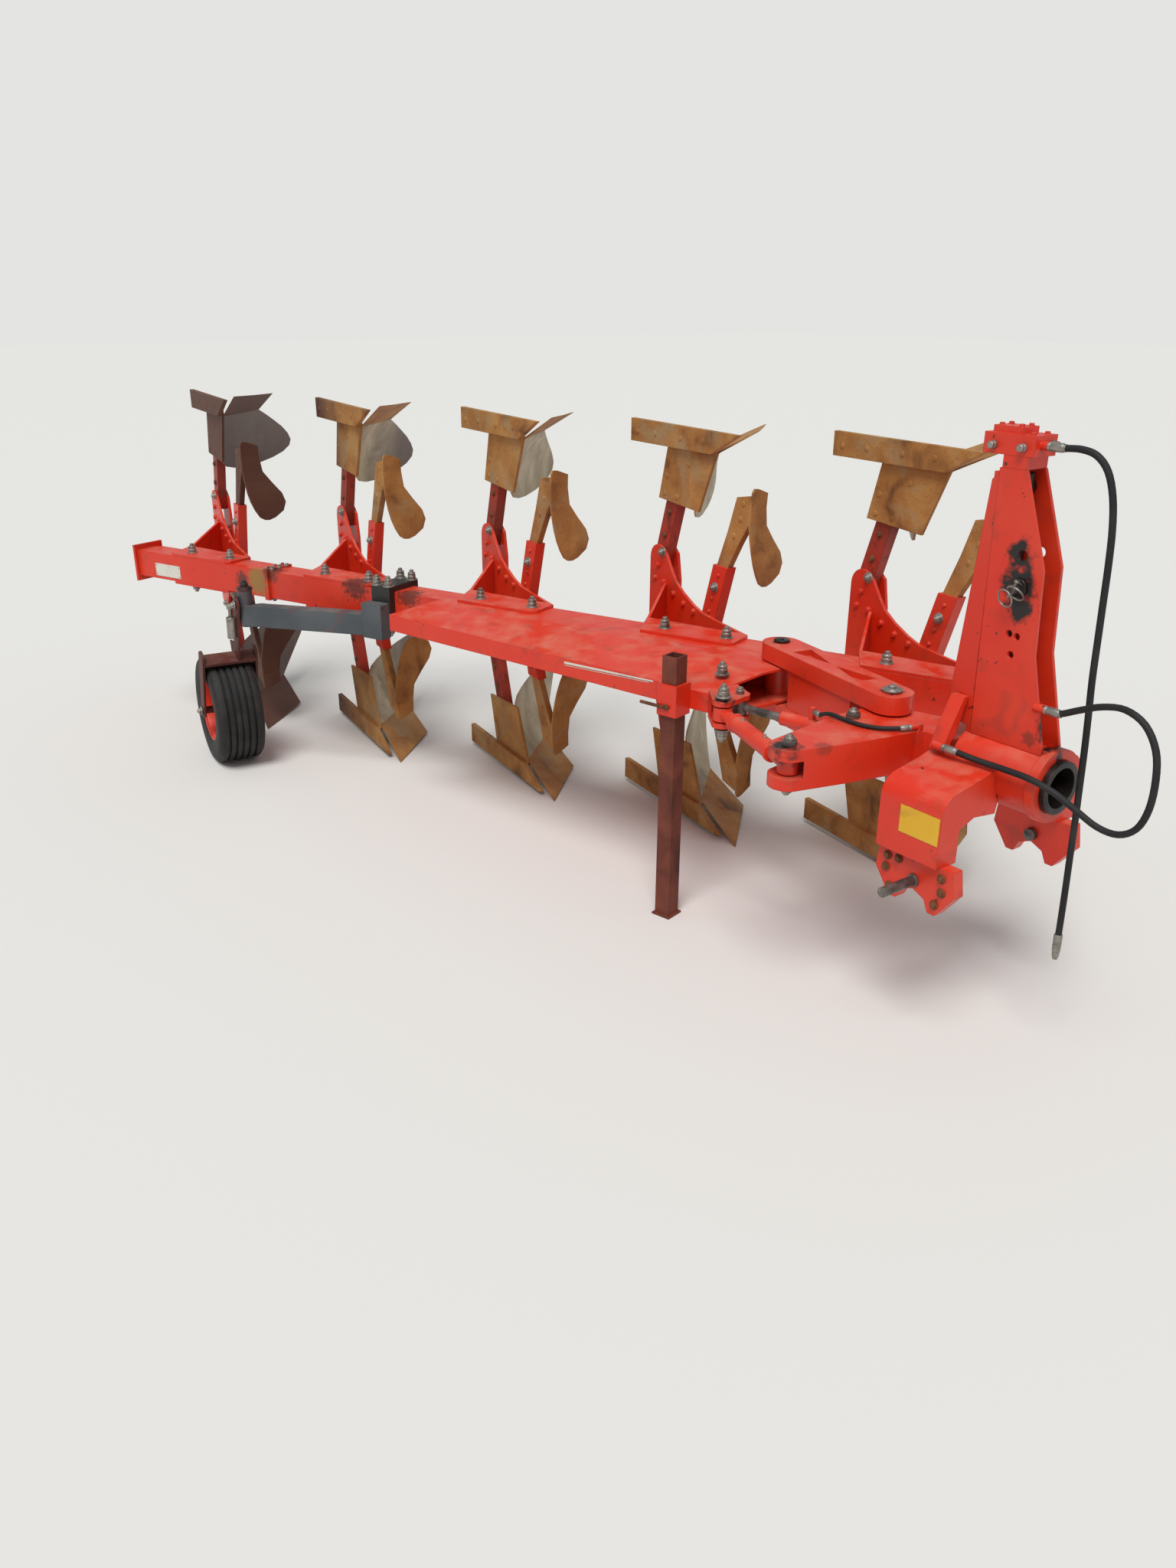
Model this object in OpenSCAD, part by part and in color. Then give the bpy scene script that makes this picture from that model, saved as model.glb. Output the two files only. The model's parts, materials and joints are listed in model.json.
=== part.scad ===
// Five-furrow mounted reversible plough, millimetres, +X forward, +Y left, +Z up.
// The model is drawn round the turnover axis and then set on the ground by placed().

/* [Frame line] */
// Distance from one body to the next along the line of travel
body_pitch = 960; // [900:10:1020]
// Width of one furrow
furrow_w = 400; // [350:5:440]
// Height of the turnover axis over the ground
axis_h = 965; // [900:5:1000]
// Width of the main tube
beam_w = 160; // [140:5:180]
// Height of the main tube
beam_h = 150; // [130:5:170]
// Wall of the main tube
beam_wall = 12; // [8:1:16]
// Length of the main tube ahead of the first body's base
beam_front = 330; // [310:5:380]
// Length of the tail behind the last body's base
tail_len = 560; // [500:10:900]
// Thickness of the bolted flanges of the tail
flange_t = 16; // [12:1:25]

/* [Bodies] */
// Height of the landside's sole from the turnover axis
sole_h = 940; // [900:5:960]
// How far the share's point stands proud of the sole
point_drop = 25; // [10:5:35]
// Length of the landside bar
landside_len = 690; // [620:10:720]
// Height of the landside bar
landside_h = 100; // [90:5:120]
// Thickness of the landside bar
landside_t = 24; // [14:1:26]
// Length from the landside's heel to the share's point
body_len = 990; // [940:10:1020]
// Height of the moldboard over the sole
mold_h = 434; // [380:2:460]
// From the landside plane out to the moldboard's tail
mold_reach = 612; // [520:4:640]
// Thickness of the moldboard and share
mold_t = 10; // [8:1:14]
// Thickness of the leg
leg_t = 50; // [40:1:56]
// Width of the leg
leg_w = 100; // [90:2:120]

/* [Headstock] */
// Outer diameter of the axle housing
housing_d = 236; // [220:2:250]
// Bore of the axle housing
housing_bore = 186; // [176:2:196]
// Length of the axle housing
housing_len = 340; // [300:10:380]
// Running clearance of the turnover shaft in its housing
shaft_gap = 0.5; // [0.4:0.1:2]
// Wall of the hollow turnover shaft
shaft_wall = 22; // [15:1:30]
// Height of the tower over the turnover axis
tower_h = 995; // [900:5:1060]
// Clear space between the tower's plates
tower_gap = 84; // [80:2:110]
// Thickness of the tower's plates
tower_t = 12; // [10:1:20]
// Distance between the lower arms' outer faces
arm_span = 760; // [720:10:840]
// Diameter of the lower hitch pins
hitch_pin_d = 36; // [28:1:37]
// Diameter of the hitch pins' shoulders in the brackets
hitch_seat_d = 46; // [42:1:52]
// Diameter of the top link pin
top_pin_d = 32; // [25:1:32]

/* [Wheel and stand] */
// Outer diameter of the depth wheel's tyre
tyre_d = 600; // [560:10:640]
// Width of the tyre
tyre_w = 255; // [190:5:260]
// Side of the stand's square tube
stand_side = 70; // [60:2:80]

/* [Hidden] */
$fn = 48;
eps = 0.01;
stations = [0, 1, 2, 3, 4];
levels = ["lower", "upper"];
beam_ang = atan2(furrow_w, body_pitch);
step_u = sqrt(body_pitch * body_pitch + furrow_w * furrow_w);
first = [-249, 460];                 // first body's base on the tube's centre line
base_t = 14;                         // thickness of a body's base plate
red = "#d8352a";
worn = "#8a6a4c";
steel = "#9a9a98";
dark = "#2a2a2c";
brown = "#5a3428";

body_turn = -7;                      // the bodies' line of travel from the headstock's
point_ahead = 130;                   // share's point ahead of the base's middle
heel_back = body_len - point_ahead;  // from the base's middle back to the landside's heel
land_side = 152;                     // landside plane to the left of the base's middle
frog_t = 14;                         // thickness of the frog plate
frog_y = land_side + landside_t;     // its near face
leg_y = frog_y + frog_t;             // its far face, where the leg lies
housing_x = 352;                     // rear face of the axle housing

// Working surface: level lines of a cylinder, stacked over an arc that curls forward with height
share_h = 105;                       // height of the seam between share and moldboard
edge_ang = 40;                       // slant of the level lines from the line of travel
shin_ahead = 40;                     // where the surface's foot meets the landside plane
arc_lo = 24;
arc_hi = 100;
arc_r = mold_h / (cos(arc_lo) - cos(arc_hi));
// The moldboard's outline. Columns: height over its seam with the share, as a share of all of it, and the
// nearest and furthest place along the level line, as shares of the tail's
mold_rows = [[0, 0, 0.47], [0.136, 0, 0.607], [0.288, 0, 0.742], [0.44, 0, 0.865], [0.592, 0, 0.955],
    [0.729, 0, 1], [0.836, 0.009, 0.972], [0.921, 0.056, 0.865], [0.976, 0.157, 0.697], [1, 0.292, 0.528]];
mold_cols = 8;
tail_s = mold_reach / sin(edge_ang);
function rise_phi(h) = acos(cos(arc_lo) - h / arc_r);
function setback(h) = arc_r * (sin(rise_phi(h)) - sin(arc_lo));
function mold_point(s, h) = [shin_ahead - setback(h) / sin(edge_ang) - s * cos(edge_ang),
    leg_y + 0.4 + s * sin(edge_ang), sole_h - h];
function mold_back(s, h) = let (phi = rise_phi(h), p = mold_point(s, h))
    [p[0] - mold_t * sin(phi) * sin(edge_ang), max(p[1] - mold_t * sin(phi) * cos(edge_ang), leg_y + 0.4),
        p[2] + mold_t * cos(phi)];
function mold_height(row) = share_h + 0.2 + (mold_h - share_h - 0.2) * row[0];
function mold_places(row) = [for (c = [0:mold_cols]) tail_s * (row[1] + (row[2] - row[1]) * c / mold_cols)];
mold_front_pts = [for (row = mold_rows) [for (s = mold_places(row)) mold_point(s, mold_height(row))]];
mold_back_pts = [for (row = mold_rows) [for (s = mold_places(row)) mold_back(s, mold_height(row))]];

// The wheel's column and axle
arm_end = [-3375, -1222];            // swing column's axis
wheel_back = 224;                    // axle behind the column, along the bodies' travel
wheel_right = 100;                   // middle of the tyre to the right of the column
swing_z = -40;                       // height of the wheel's swing pin from the turnover axis
axle_z = tyre_d / 2 - axis_h;
carrier_len = norm([wheel_back, swing_z - axle_z]);
carrier_lean = atan2(wheel_back, swing_z - axle_z);
crown_reach = carrier_len - tyre_d / 2 - 30;
crown_half = 50;
fork_gap = 9;                        // from the tyre's side to the fork
fork_t = 12;
tyre_shoulder = 250;                 // radius of the tyre's flat side

// The box of the whole machine, from which the frame's origin is worked out
function turned(p) = [p[0] * cos(body_turn) - p[1] * sin(body_turn),
    p[0] * sin(body_turn) + p[1] * cos(body_turn)];
mold_pts = [for (side = [mold_front_pts, mold_back_pts], row = side, p = row) turned(p)];
rear_x = first[0] - 4 * body_pitch + min([for (p = mold_pts) p[0]]);
front_x = housing_x + housing_len + 20;
left_y = first[1] + max([for (p = mold_pts) p[1]]);
right_y = arm_end[1] + turned([crown_half * cos(carrier_lean) - crown_reach * sin(carrier_lean),
    -wheel_right - tyre_w / 2 - fork_gap - fork_t])[1];
shift = [-(rear_x + front_x) / 2, -(left_y + right_y) / 2, axis_h];

// Points on a circle from angle a0 to a1
function arc(c, r, a0, a1, n = 8) =
    [for (k = [0:n]) c + r * [cos(a0 + (a1 - a0) * k / n), sin(a0 + (a1 - a0) * k / n)]];

function station(i) = [first[0] - i * body_pitch, first[1] - i * furrow_w];

module placed() translate(shift) children();

module on_beam() placed() translate([first[0], first[1], 0]) rotate(beam_ang) children();

// A body's own place, axes along the bodies' travel
module at_station(i) {
    placed() translate([station(i)[0], station(i)[1], 0]) rotate(body_turn) children();
}

// The same place, upper or mirrored to the lower side
module at_body(i, level) {
    at_station(i) mirror([0, 0, level == "upper" ? 0 : 1]) children();
}

// A flat plate in the XZ plane, from y0 to y0 + t
module side_plate(points, y0, t) {
    translate([0, y0 + t, 0]) rotate([90, 0, 0]) linear_extrude(t) polygon(points);
}

// A closed skin between two grids of points, rows by columns
module skin(front, back) {
    rows = len(front);
    cols = len(front[0]);
    n = rows * cols;
    pts = concat([for (r = front) for (p = r) p], [for (r = back) for (p = r) p]);
    id = function(r, c, s) s * n + r * cols + c;
    quads = concat(
        [for (r = [0:rows - 2]) for (c = [0:cols - 2])
            [id(r, c, 0), id(r, c + 1, 0), id(r + 1, c + 1, 0), id(r + 1, c, 0)]],
        [for (r = [0:rows - 2]) for (c = [0:cols - 2])
            [id(r, c, 1), id(r + 1, c, 1), id(r + 1, c + 1, 1), id(r, c + 1, 1)]],
        [for (r = [0:rows - 2]) [id(r, 0, 0), id(r + 1, 0, 0), id(r + 1, 0, 1), id(r, 0, 1)]],
        [for (r = [0:rows - 2]) [id(r, cols - 1, 0), id(r, cols - 1, 1), id(r + 1, cols - 1, 1),
            id(r + 1, cols - 1, 0)]],
        [for (c = [0:cols - 2]) [id(0, c, 0), id(0, c, 1), id(0, c + 1, 1), id(0, c + 1, 0)]],
        [for (c = [0:cols - 2]) [id(rows - 1, c, 0), id(rows - 1, c + 1, 0),
            id(rows - 1, c + 1, 1), id(rows - 1, c, 1)]]);
    tris = [for (q = quads) for (t = [[q[0], q[1], q[2]], [q[0], q[2], q[3]]]) t];
    polyhedron(pts, tris, convexity = 6);
}

// Headstock
module axle_housing() color(red) placed() difference() {
    translate([housing_x, 0, 0]) rotate([0, 90, 0]) union() {
        cylinder(d = housing_d, h = housing_len);
        translate([0, 0, housing_len - 32]) cylinder(d = housing_d + 20, h = 32);
    }
    translate([housing_x - 1, 0, 0]) rotate([0, 90, 0]) cylinder(d = housing_bore, h = housing_len + 2);
    translate([cylinder_x, 0, 0]) cylinder(d = rod_d + 16, h = housing_d);
}

cylinder_x = 405;
rod_d = 44;
tower_front = [[452, tower_h], [560, 700], [575, 420], [655, 112], [658, 80]];
tower_fold_top = 352;
tower_fold_foot = 372;
module tower_side() {
    side_plate(concat([[tower_fold_foot, 80], [tower_fold_top, tower_h]], tower_front),
        tower_gap / 2, tower_t);
    translate([tower_fold_foot, tower_gap / 2, 0]) rotate(10)
        side_plate([[0, -60], [-142, -60], [-48, tower_h - 40], [-18, tower_h - 20]], 0, tower_t);
}

// Web behind the housing that stiffens the tower's foot, clear over the lower arm
tower_web = [[48, 230], [72, 230], [128, 125], [160, 50], [110, 63]];
hose_d = 22;
web_gland = [312, -163, 68];         // foot of the loop's lower end
tower_gland = [600, -48, 262];       // foot of its upper end
gland_len = 40;
module tower() color(red) placed() {
    difference() {
        union() {
            for (s = [0, 1]) mirror([0, s, 0]) {
                tower_side();
                translate([arm_rear + 5, 0, 0]) rotate([90, 0, 90]) linear_extrude(56) polygon(tower_web);
            }
            for (foot = [web_gland, tower_gland]) translate(foot) rotate([0, 90, 0])
                cylinder(d = hose_d + 8, h = gland_len);
            translate([tower_fold_foot - 45, -tower_gap / 2 - 1, tower_h - 70])
                cube([36, tower_gap + 2, 55]);
        }
        for (z = top_hole_z) translate([top_hole_x, 0, z]) rotate([90, 0, 0])
            cylinder(d = top_pin_d + 1, h = 300, center = true);
        for (place = spare_holes) translate([place[0], 0, place[1]]) rotate([90, 0, 0])
            cylinder(d = spare_hole_d, h = 300, center = true);
        rotate([0, 90, 0]) cylinder(r = sweep_r, h = housing_x - 1);
        rotate([0, 90, 0]) cylinder(d = housing_d + 0.6, h = 900);
    }
}

top_hole_x = 480;
top_hole_z = [630, 735];
spare_hole_d = 24;
spare_holes = [[470, 478], [500, 474], [486, 410]];
sweep_r = 138;                       // clear of the turning arm behind the housing
arm_out = arm_span / 2;
arm_w = 100;
arm_rear = 285;                      // rear face of the lower arms
arm_foot = -260;                     // underside of the lower arms, where the brackets are bolted
arm_outline = concat([[60, 60], [205, 20]], arc([arm_out - 75, -75], 75, 70, 0, 6),
    [[arm_out, arm_foot], [arm_out - arm_w, arm_foot], [arm_out - arm_w, -140], [arm_out - 170, -112],
        [100, -125]]);
module lower_arms() color(red) placed() for (s = [0, 1]) mirror([0, s, 0])
    difference() {
        translate([arm_rear, 0, 0]) rotate([90, 0, 90]) linear_extrude(260) polygon(arm_outline);
        rotate([0, 90, 0]) cylinder(d = housing_d, h = 900);
        rotate([0, 90, 0]) cylinder(r = sweep_r, h = housing_x - 1);
    }

hitch_x = 442;
hitch_z = -345;
bracket_outline = [for (p = [[-157, arm_foot], [153, arm_foot], [168, -350], [100, -440], [70, -440],
    [50, -398], [0, -376], [-50, -398], [-70, -440], [-100, -440], [-167, -350]]) [hitch_x + p[0], p[1]]];
module hitch_brackets() color(red) placed() for (s = [0, 1]) mirror([0, s, 0])
    difference() {
        side_plate(bracket_outline, arm_out - 75, 50);
        translate([hitch_x, arm_out - 130, hitch_z]) rotate([-90, 0, 0]) cylinder(d = hitch_seat_d + 0.6, h = 300);
    }

module hitch_pins() color(steel) placed() for (s = [0, 1]) mirror([0, s, 0])
    translate([hitch_x, arm_out - 95, hitch_z]) rotate([-90, 0, 0]) {
        cylinder(d = hitch_seat_d, h = 78);
        cylinder(d = hitch_pin_d, h = 230);
    }

module top_link_pin() color(steel) placed() translate([top_hole_x, 0, top_hole_z[0]]) rotate([90, 0, 0])
    cylinder(d = top_pin_d, h = tower_gap + 2 * tower_t + 80, center = true);

module valve_block() color(red) placed() {
    translate([tower_fold_top + 8, -tower_gap / 2 - tower_t, tower_h]) cube([88, tower_gap + 2 * tower_t, 45]);
    translate([280, -55, tower_h + 40]) cube([190, 110, 65]);
    translate([300, -40, tower_h + 100]) cube([110, 80, 26]);
    translate([460, -20, tower_h + 75]) rotate([0, 90, 0]) cylinder(d = hose_d + 6, h = 35);
}

barrel_foot = 330;
module turnover_cylinder() color(dark) placed() {
    translate([cylinder_x, 0, barrel_foot]) cylinder(d = tower_gap - 14, h = tower_h - barrel_foot - 15);
    translate([cylinder_x, 0, tower_h - 60]) rotate([90, 0, 0])
        cylinder(d = 50, h = tower_gap - 0.6, center = true);
}

module turnover_rod() color(steel) placed() translate([cylinder_x, 0, housing_bore / 2 + 7])
    cylinder(d = rod_d, h = barrel_foot - housing_bore / 2 - 7);

// Turnover shaft and arm
shaft_d = housing_bore - 2 * shaft_gap;
module turnover_shaft() color(steel) placed() translate([housing_x - 20, 0, 0])
    rotate([0, 90, 0]) difference() {
        cylinder(d = shaft_d, h = housing_len + 40);
        translate([0, 0, -1]) cylinder(d = shaft_d - 2 * shaft_wall, h = housing_len + 42);
    }

link_front = [0, -30];
link_rear = [-720, 110];
fork_pt = [40, -585];
flange_pt = [-500, -405];
offset_arm_pt = [-30, -195];
offset_box_pt = [-520, -300];
arm_half = 74;
slot_half = 32;
link_pin_d = 50;
eye_pin_d = 32;
arm_plan = concat(arc(link_front, 88, 60, 200, 12),
    [[-85, -130], [-85, -260], [-40, -520]], arc(fork_pt, 70, 180, 330, 8),
    [[150, -420], [185, -250], [203, -125], [222, -100], [332, -95], [332, 95], [200, 95]]);
arm_gland = [200, -108, 88];         // where the offset cylinder's hose ends on the arm
gland_turn = -110.5;                 // the way that its elbow points
module turnover_arm() color(red) placed() difference() {
    union() {
        translate([0, 0, -arm_half]) linear_extrude(2 * arm_half) polygon(arm_plan);
        translate([arm_gland[0], arm_gland[1], arm_half - 4]) cylinder(d = 26, h = arm_gland[2] - arm_half + 16);
        translate(arm_gland) rotate(gland_turn) rotate([0, 90, 0]) cylinder(d = 22, h = 34);
    }
    translate([link_front[0], link_front[1], -200]) cylinder(d = link_pin_d + 1, h = 400);
    for (p = [fork_pt, offset_arm_pt]) translate([p[0], p[1], -200]) cylinder(d = eye_pin_d, h = 400);
    translate([fork_pt[0] - 140, fork_pt[1] - 90, -slot_half]) cube([210, 190, 2 * slot_half]);
    translate([offset_arm_pt[0] - 120, offset_arm_pt[1] - 60, -slot_half]) cube([170, 105, 2 * slot_half]);
}

module arm_pins() color(steel) placed() {
    for (p = [fork_pt, offset_arm_pt], s = [0, 1])
        mirror([0, 0, s]) translate([p[0], p[1], slot_half + 1]) {
            cylinder(d = eye_pin_d, h = arm_half - slot_half + 14);
            translate([0, 0, arm_half - slot_half - 1]) cylinder(d = 54, h = 18, $fn = 6);
        }
    translate([offset_arm_pt[0], offset_arm_pt[1], -arm_half]) cylinder(d = eye_pin_d, h = 2 * arm_half);
}

// Link arm between the turnover arm and the frame
link_z = 82;
link_t = 70;
link_len = norm(link_rear - link_front);
link_ang = atan2(link_rear[1] - link_front[1], link_rear[0] - link_front[0]);
module link_plan(r1, r2, x1, x2) {
    polygon(concat(arc([x1, 0], r1, 95, 265, 12), arc([x2, 0], r2, -85, 85, 12)));
}

module link_arm() color(red) placed() translate([link_front[0], link_front[1], 0])
    rotate(link_ang) difference() {
        union() {
            for (s = [0, 1]) mirror([0, 0, s]) translate([0, 0, link_z])
                linear_extrude(link_t) link_plan(80, 80, 0, link_len);
            translate([150, -70, -link_z - 1]) cube([link_len - 320, 140, 2 * link_z + 2]);
        }
        for (x = [0, link_len]) translate([x, 0, -200]) cylinder(d = link_pin_d + 0.6, h = 400);
        for (s = [0, 1]) mirror([0, 0, s]) translate([0, 0, link_z + 45]) linear_extrude(40) {
            polygon([[150, -45], [150, 45], [link_len / 2 - 20, 0]]);
            polygon([[link_len - 150, -45], [link_len - 150, 45], [link_len / 2 + 20, 0]]);
        }
    }

module link_pins() color(steel) placed() for (p = [link_front, link_rear])
    translate([p[0], p[1], -link_z - link_t - 4]) cylinder(d = link_pin_d, h = 2 * (link_z + link_t + 4));

// Main tube, stiffening box and tail
join_u = -3.5 * step_u;
module tube(u0, u1) {
    difference() {
        translate([u0, -beam_w / 2, -beam_h / 2]) cube([u1 - u0, beam_w, beam_h]);
        translate([u0 - 1, -beam_w / 2 + beam_wall, -beam_h / 2 + beam_wall])
            cube([u1 - u0 + 2, beam_w - 2 * beam_wall, beam_h - 2 * beam_wall]);
    }
}

module main_beam() color(red) on_beam() {
    tube(join_u + flange_t - eps, beam_front);
    translate([join_u, -beam_w / 2 - 15, -beam_h / 2 - 10]) cube([flange_t, beam_w + 30, beam_h + 20]);
}

module tail_extension() color(red) on_beam() {
    tube(-4 * step_u - tail_len + flange_t - eps, join_u - flange_t + eps);
    translate([join_u - flange_t, -beam_w / 2 - 15, -beam_h / 2 - 10])
        cube([flange_t - 0.3, beam_w + 30, beam_h + 20]);
    translate([-4 * step_u - tail_len, -beam_w / 2 - 20, -beam_h / 2 - 30])
        cube([flange_t, beam_w + 40, beam_h + 60]);
}

// The box's plan: seam along the tube, near lip, open front across the travel
wing_front = -620;
wing_rear_u = -2.36 * step_u;
function beam_y(x, v) = first[1] + (x - first[0]) * tan(beam_ang) + v / cos(beam_ang);
lip_front = [wing_front, -375];
lip_rear = [-2430, -830];
seam_v = -beam_w / 2;
wing_wall = 10;
lip_half = 40;
// The box's sections from rear to front. Columns: x, y of the seam on the tube, y of the crease, y of the lip
function lip_y(x) = lip_front[1] + (x - lip_front[0]) * (lip_rear[1] - lip_front[1]) / (lip_rear[0] - lip_front[0]);
wing_sections = [for (row = [[lip_rear[0] - 30, 16], [-1356, 126], [wing_front, 296]])
    [row[0], beam_y(row[0], seam_v), beam_y(row[0], seam_v) - row[1], lip_y(row[0])]];
function wing_ring(row, wall, ahead) = let (seam = row[1] - wall, lip = row[3] + 1.5 * wall,
        top = beam_h / 2 - wall, low = lip_half - wall)
    [for (p = [[seam, top], [row[2], top], [lip, low], [lip, -low], [row[2], -top], [seam, -top]])
        [row[0] + ahead, p[0], p[1]]];
module wing_solid(wall) {
    rings = [for (k = [0:2]) wing_ring(wing_sections[k], wall, k == 0 ? 2 * wall : k == 2 ? 4 * wall : 0)];
    polyhedron([for (ring = rings) for (p = ring) p],
        concat([[0, 1, 2, 3, 4, 5], [17, 16, 15, 14, 13, 12]],
            [for (k = [0, 6], j = [0:5]) for (t = [[k + j, k + 6 + (j + 1) % 6, k + (j + 1) % 6],
                [k + j, k + 6 + j, k + 6 + (j + 1) % 6]]) t]));
}

boss_r = 60;
module wing_box() color(red) placed() {
    difference() {
        wing_solid(0);
        wing_solid(wing_wall);
        translate([link_rear[0], link_rear[1], -200]) cylinder(r = boss_r - 1, h = 400);
    }
    difference() {
        translate([link_rear[0], link_rear[1], -link_z + 2]) cylinder(r = boss_r, h = 2 * link_z - 4);
        translate([link_rear[0], link_rear[1], -200]) cylinder(d = link_pin_d + 1, h = 400);
    }
}

// Plates that carry the turnbuckle and the offset cylinder ahead of the box's mouth
plate_z = 34;
plate_t = 20;
module front_bracket() color(red) placed() difference() {
    union() {
        translate([wing_front, lip_front[1], -lip_half]) cube([20, 150, 2 * lip_half]);
        for (s = [0, 1]) mirror([0, 0, s]) translate([0, 0, plate_z]) linear_extrude(plate_t)
            polygon(concat([[wing_front, lip_front[1] + 150], [wing_front, lip_front[1]]],
                arc(flange_pt, 42, 225, 350, 6), arc(offset_box_pt, 40, 350, 450, 6)));
    }
    for (p = [flange_pt, offset_box_pt]) translate([p[0], p[1], -100]) cylinder(d = eye_pin_d, h = 200);
}

module bracket_pins() color(steel) placed() {
    translate([flange_pt[0], flange_pt[1], -plate_z - plate_t - 12])
        cylinder(d = eye_pin_d, h = 2 * (plate_z + plate_t + 12));
    for (s = [0, 1]) mirror([0, 0, s]) translate([offset_box_pt[0], offset_box_pt[1], plate_z + 1])
        cylinder(d = eye_pin_d, h = plate_t + 14);
}

// Bodies
leg_gap = 0.2;
module base_plate() {
    rotate(beam_ang - body_turn) translate([0, 0, beam_h / 2]) difference() {
        linear_extrude(base_t) polygon([[-245, -80], [190, -80], [215, -55], [215, 75], [185, 105],
            [40, 105], [-324, 130]]);
        for (u = [-160, 150]) translate([u, 0, -1]) cylinder(d = 26, h = base_t + 2);
    }
}

// Upper half of the plate that swoops back from the base to the leg
cheek_top = arc([-620, 293], 70, 180, 50, 8);
cheek_half = concat(cheek_top, [[-545, 325], [-500, 262], [-456, 212], [-392, 172],
    [-300, 132], [-220, 108], [-60, 96], [130, beam_h / 2 + base_t - 4]]);
module cheek(half, y0, t) {
    last = len(half) - 1;
    side_plate(concat(half, [for (k = [last:-1:0]) [half[k][0], -half[k][1]]]), y0, t);
}

module console() {
    for (s = [0, 1]) mirror([0, 0, s]) base_plate();
    cheek(cheek_half, frog_y, frog_t);
    cheek(concat(cheek_top, [[-545, 325], [-520, 200]]), leg_y + leg_t, frog_t);
    translate([-688, leg_y - 2, -130]) cube([150, leg_t + 4, 260]);
    translate([-332, -52, 0]) rotate(133.2)
        side_plate([[0, -beam_h / 2 - 8], [0, beam_h / 2 + 8], [322, 190], [322, -190]], -7, 14);
}

module consoles() color(red) for (i = stations) at_station(i) console();

module leg(level) {
    x_foot = -638;
    x_top = -489;
    side_plate([[x_foot - leg_w / 2, 250], [x_foot + leg_w / 2, 250], [x_top + leg_w / 2, 700],
        [x_top - leg_w / 2, 700]], leg_y + leg_gap, leg_t - 2 * leg_gap);
}

module legs(level) color(red) for (i = stations) at_body(i, level) leg(level);

module landside() {
    x0 = -heel_back;
    side_plate([[x0, sole_h], [x0, sole_h - landside_h - 6], [x0 + landside_len, sole_h - landside_h],
        [x0 + landside_len + 200, sole_h]], land_side, landside_t);
    side_plate([[-627, 589], [-285, 569], [x0 + landside_len + 10, sole_h - landside_h + 5],
        [x0 + landside_len, sole_h - 30], [-540, sole_h - 30]], frog_y - eps, frog_t);
}

module landsides(level) color(worn) for (i = stations) at_body(i, level) landside();

module moldboard() skin(mold_front_pts, mold_back_pts);

module moldboards(level) color(worn) for (i = stations) at_body(i, level) moldboard();

// The share's cutting edge from the point to the wing, [x, y, how far it stands proud of the sole]
share_edge = [[point_ahead, leg_y + 0.4, point_drop], [-54, 345, 15], [-238, 499, 8]];
module share() {
    seam = [for (k = [0:2]) tail_s * mold_rows[0][2] * k / 2];
    front = [[for (p = share_edge) [p[0], p[1], sole_h + p[2]]], [for (s = seam) mold_point(s, share_h - 0.2)]];
    back = [[for (p = share_edge) [p[0] - 9, p[1], sole_h + p[2]]], [for (s = seam) mold_back(s, share_h - 0.2)]];
    skin(front, back);
}

module shares(level) color(worn) for (i = stations) at_body(i, level) share();

holder_y = leg_y + 0.3;
module skimmer_holder() difference() {
    side_plate([[-270, 15], [-160, 15], [-54, 350], [-164, 350]], holder_y, 50);
    side_plate([[-260, 14], [-170, 14], [-64, 351], [-154, 351]], holder_y + 10, 30);
}

module skimmer_holders(level) color(red) for (i = stations) at_body(i, level) skimmer_holder();

// The skimmer's blade. Columns: height, x at the shank, nearest and furthest place across
skimmer_rows = [[722, 100, 10, 40], [705, 98, 0, 115], [640, 88, 0, 120], [560, 85, 0, 135], [500, 88, 10, 190],
    [440, 95, 20, 250], [390, 98, 35, 270], [340, 98, 60, 250], [300, 96, 90, 190], [286, 95, 120, 150]];
module skimmer() {
    side_plate([[-223, 120], [-140, 120], [-71, 340], [10, 470], [74, 560], [78, 640], [84, 690],
        [-20, 672], [-75, 520], [-153, 340]], holder_y + 10.3, 29.4);
    front = [for (row = skimmer_rows) [for (c = [0:5]) let (s = row[2] + (row[3] - row[2]) * c / 5)
        [row[1] - 0.35 * s, holder_y + 12 + s * 0.94, row[0] - 0.1 * s]]];
    back = [for (row = front) [for (p = row) p + [-9, -3, 0]]];
    skin(front, back);
}

module skimmers(level) color(worn) for (i = stations) at_body(i, level) skimmer();

// Stand
lip_ang = atan2(lip_front[1] - lip_rear[1], lip_front[0] - lip_rear[0]);
holder_wall = 12;
holder_gap = 0.4;
module on_lip() placed() translate([lip_front[0], lip_front[1], 0]) rotate(lip_ang)
    translate([-135, -stand_side / 2 - holder_wall - holder_gap, 0]) children();

module stand_holder() color(red) on_lip() translate([0, 0, -lip_half - 20]) difference() {
    side = stand_side + 2 * (holder_wall + holder_gap);
    translate([-side / 2, -side / 2, 0]) cube([side, side, 130]);
    translate([-stand_side / 2 - holder_gap, -stand_side / 2 - holder_gap, -1])
        cube([stand_side + 2 * holder_gap, stand_side + 2 * holder_gap, 132]);
}

stand_wall = 6;
stand_rise = 175;
module stand_leg() color(brown) on_lip() translate([0, 0, -axis_h]) {
    difference() {
        translate([-stand_side / 2, -stand_side / 2, 8]) cube([stand_side, stand_side, axis_h + stand_rise]);
        translate([-stand_side / 2 + stand_wall, -stand_side / 2 + stand_wall, 9])
            cube([stand_side - 2 * stand_wall, stand_side - 2 * stand_wall, axis_h + stand_rise]);
    }
    translate([-stand_side / 2 - 10, -stand_side / 2 - 10, 0])
        cube([stand_side + 20, stand_side + 20, 8.01]);
}

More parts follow.
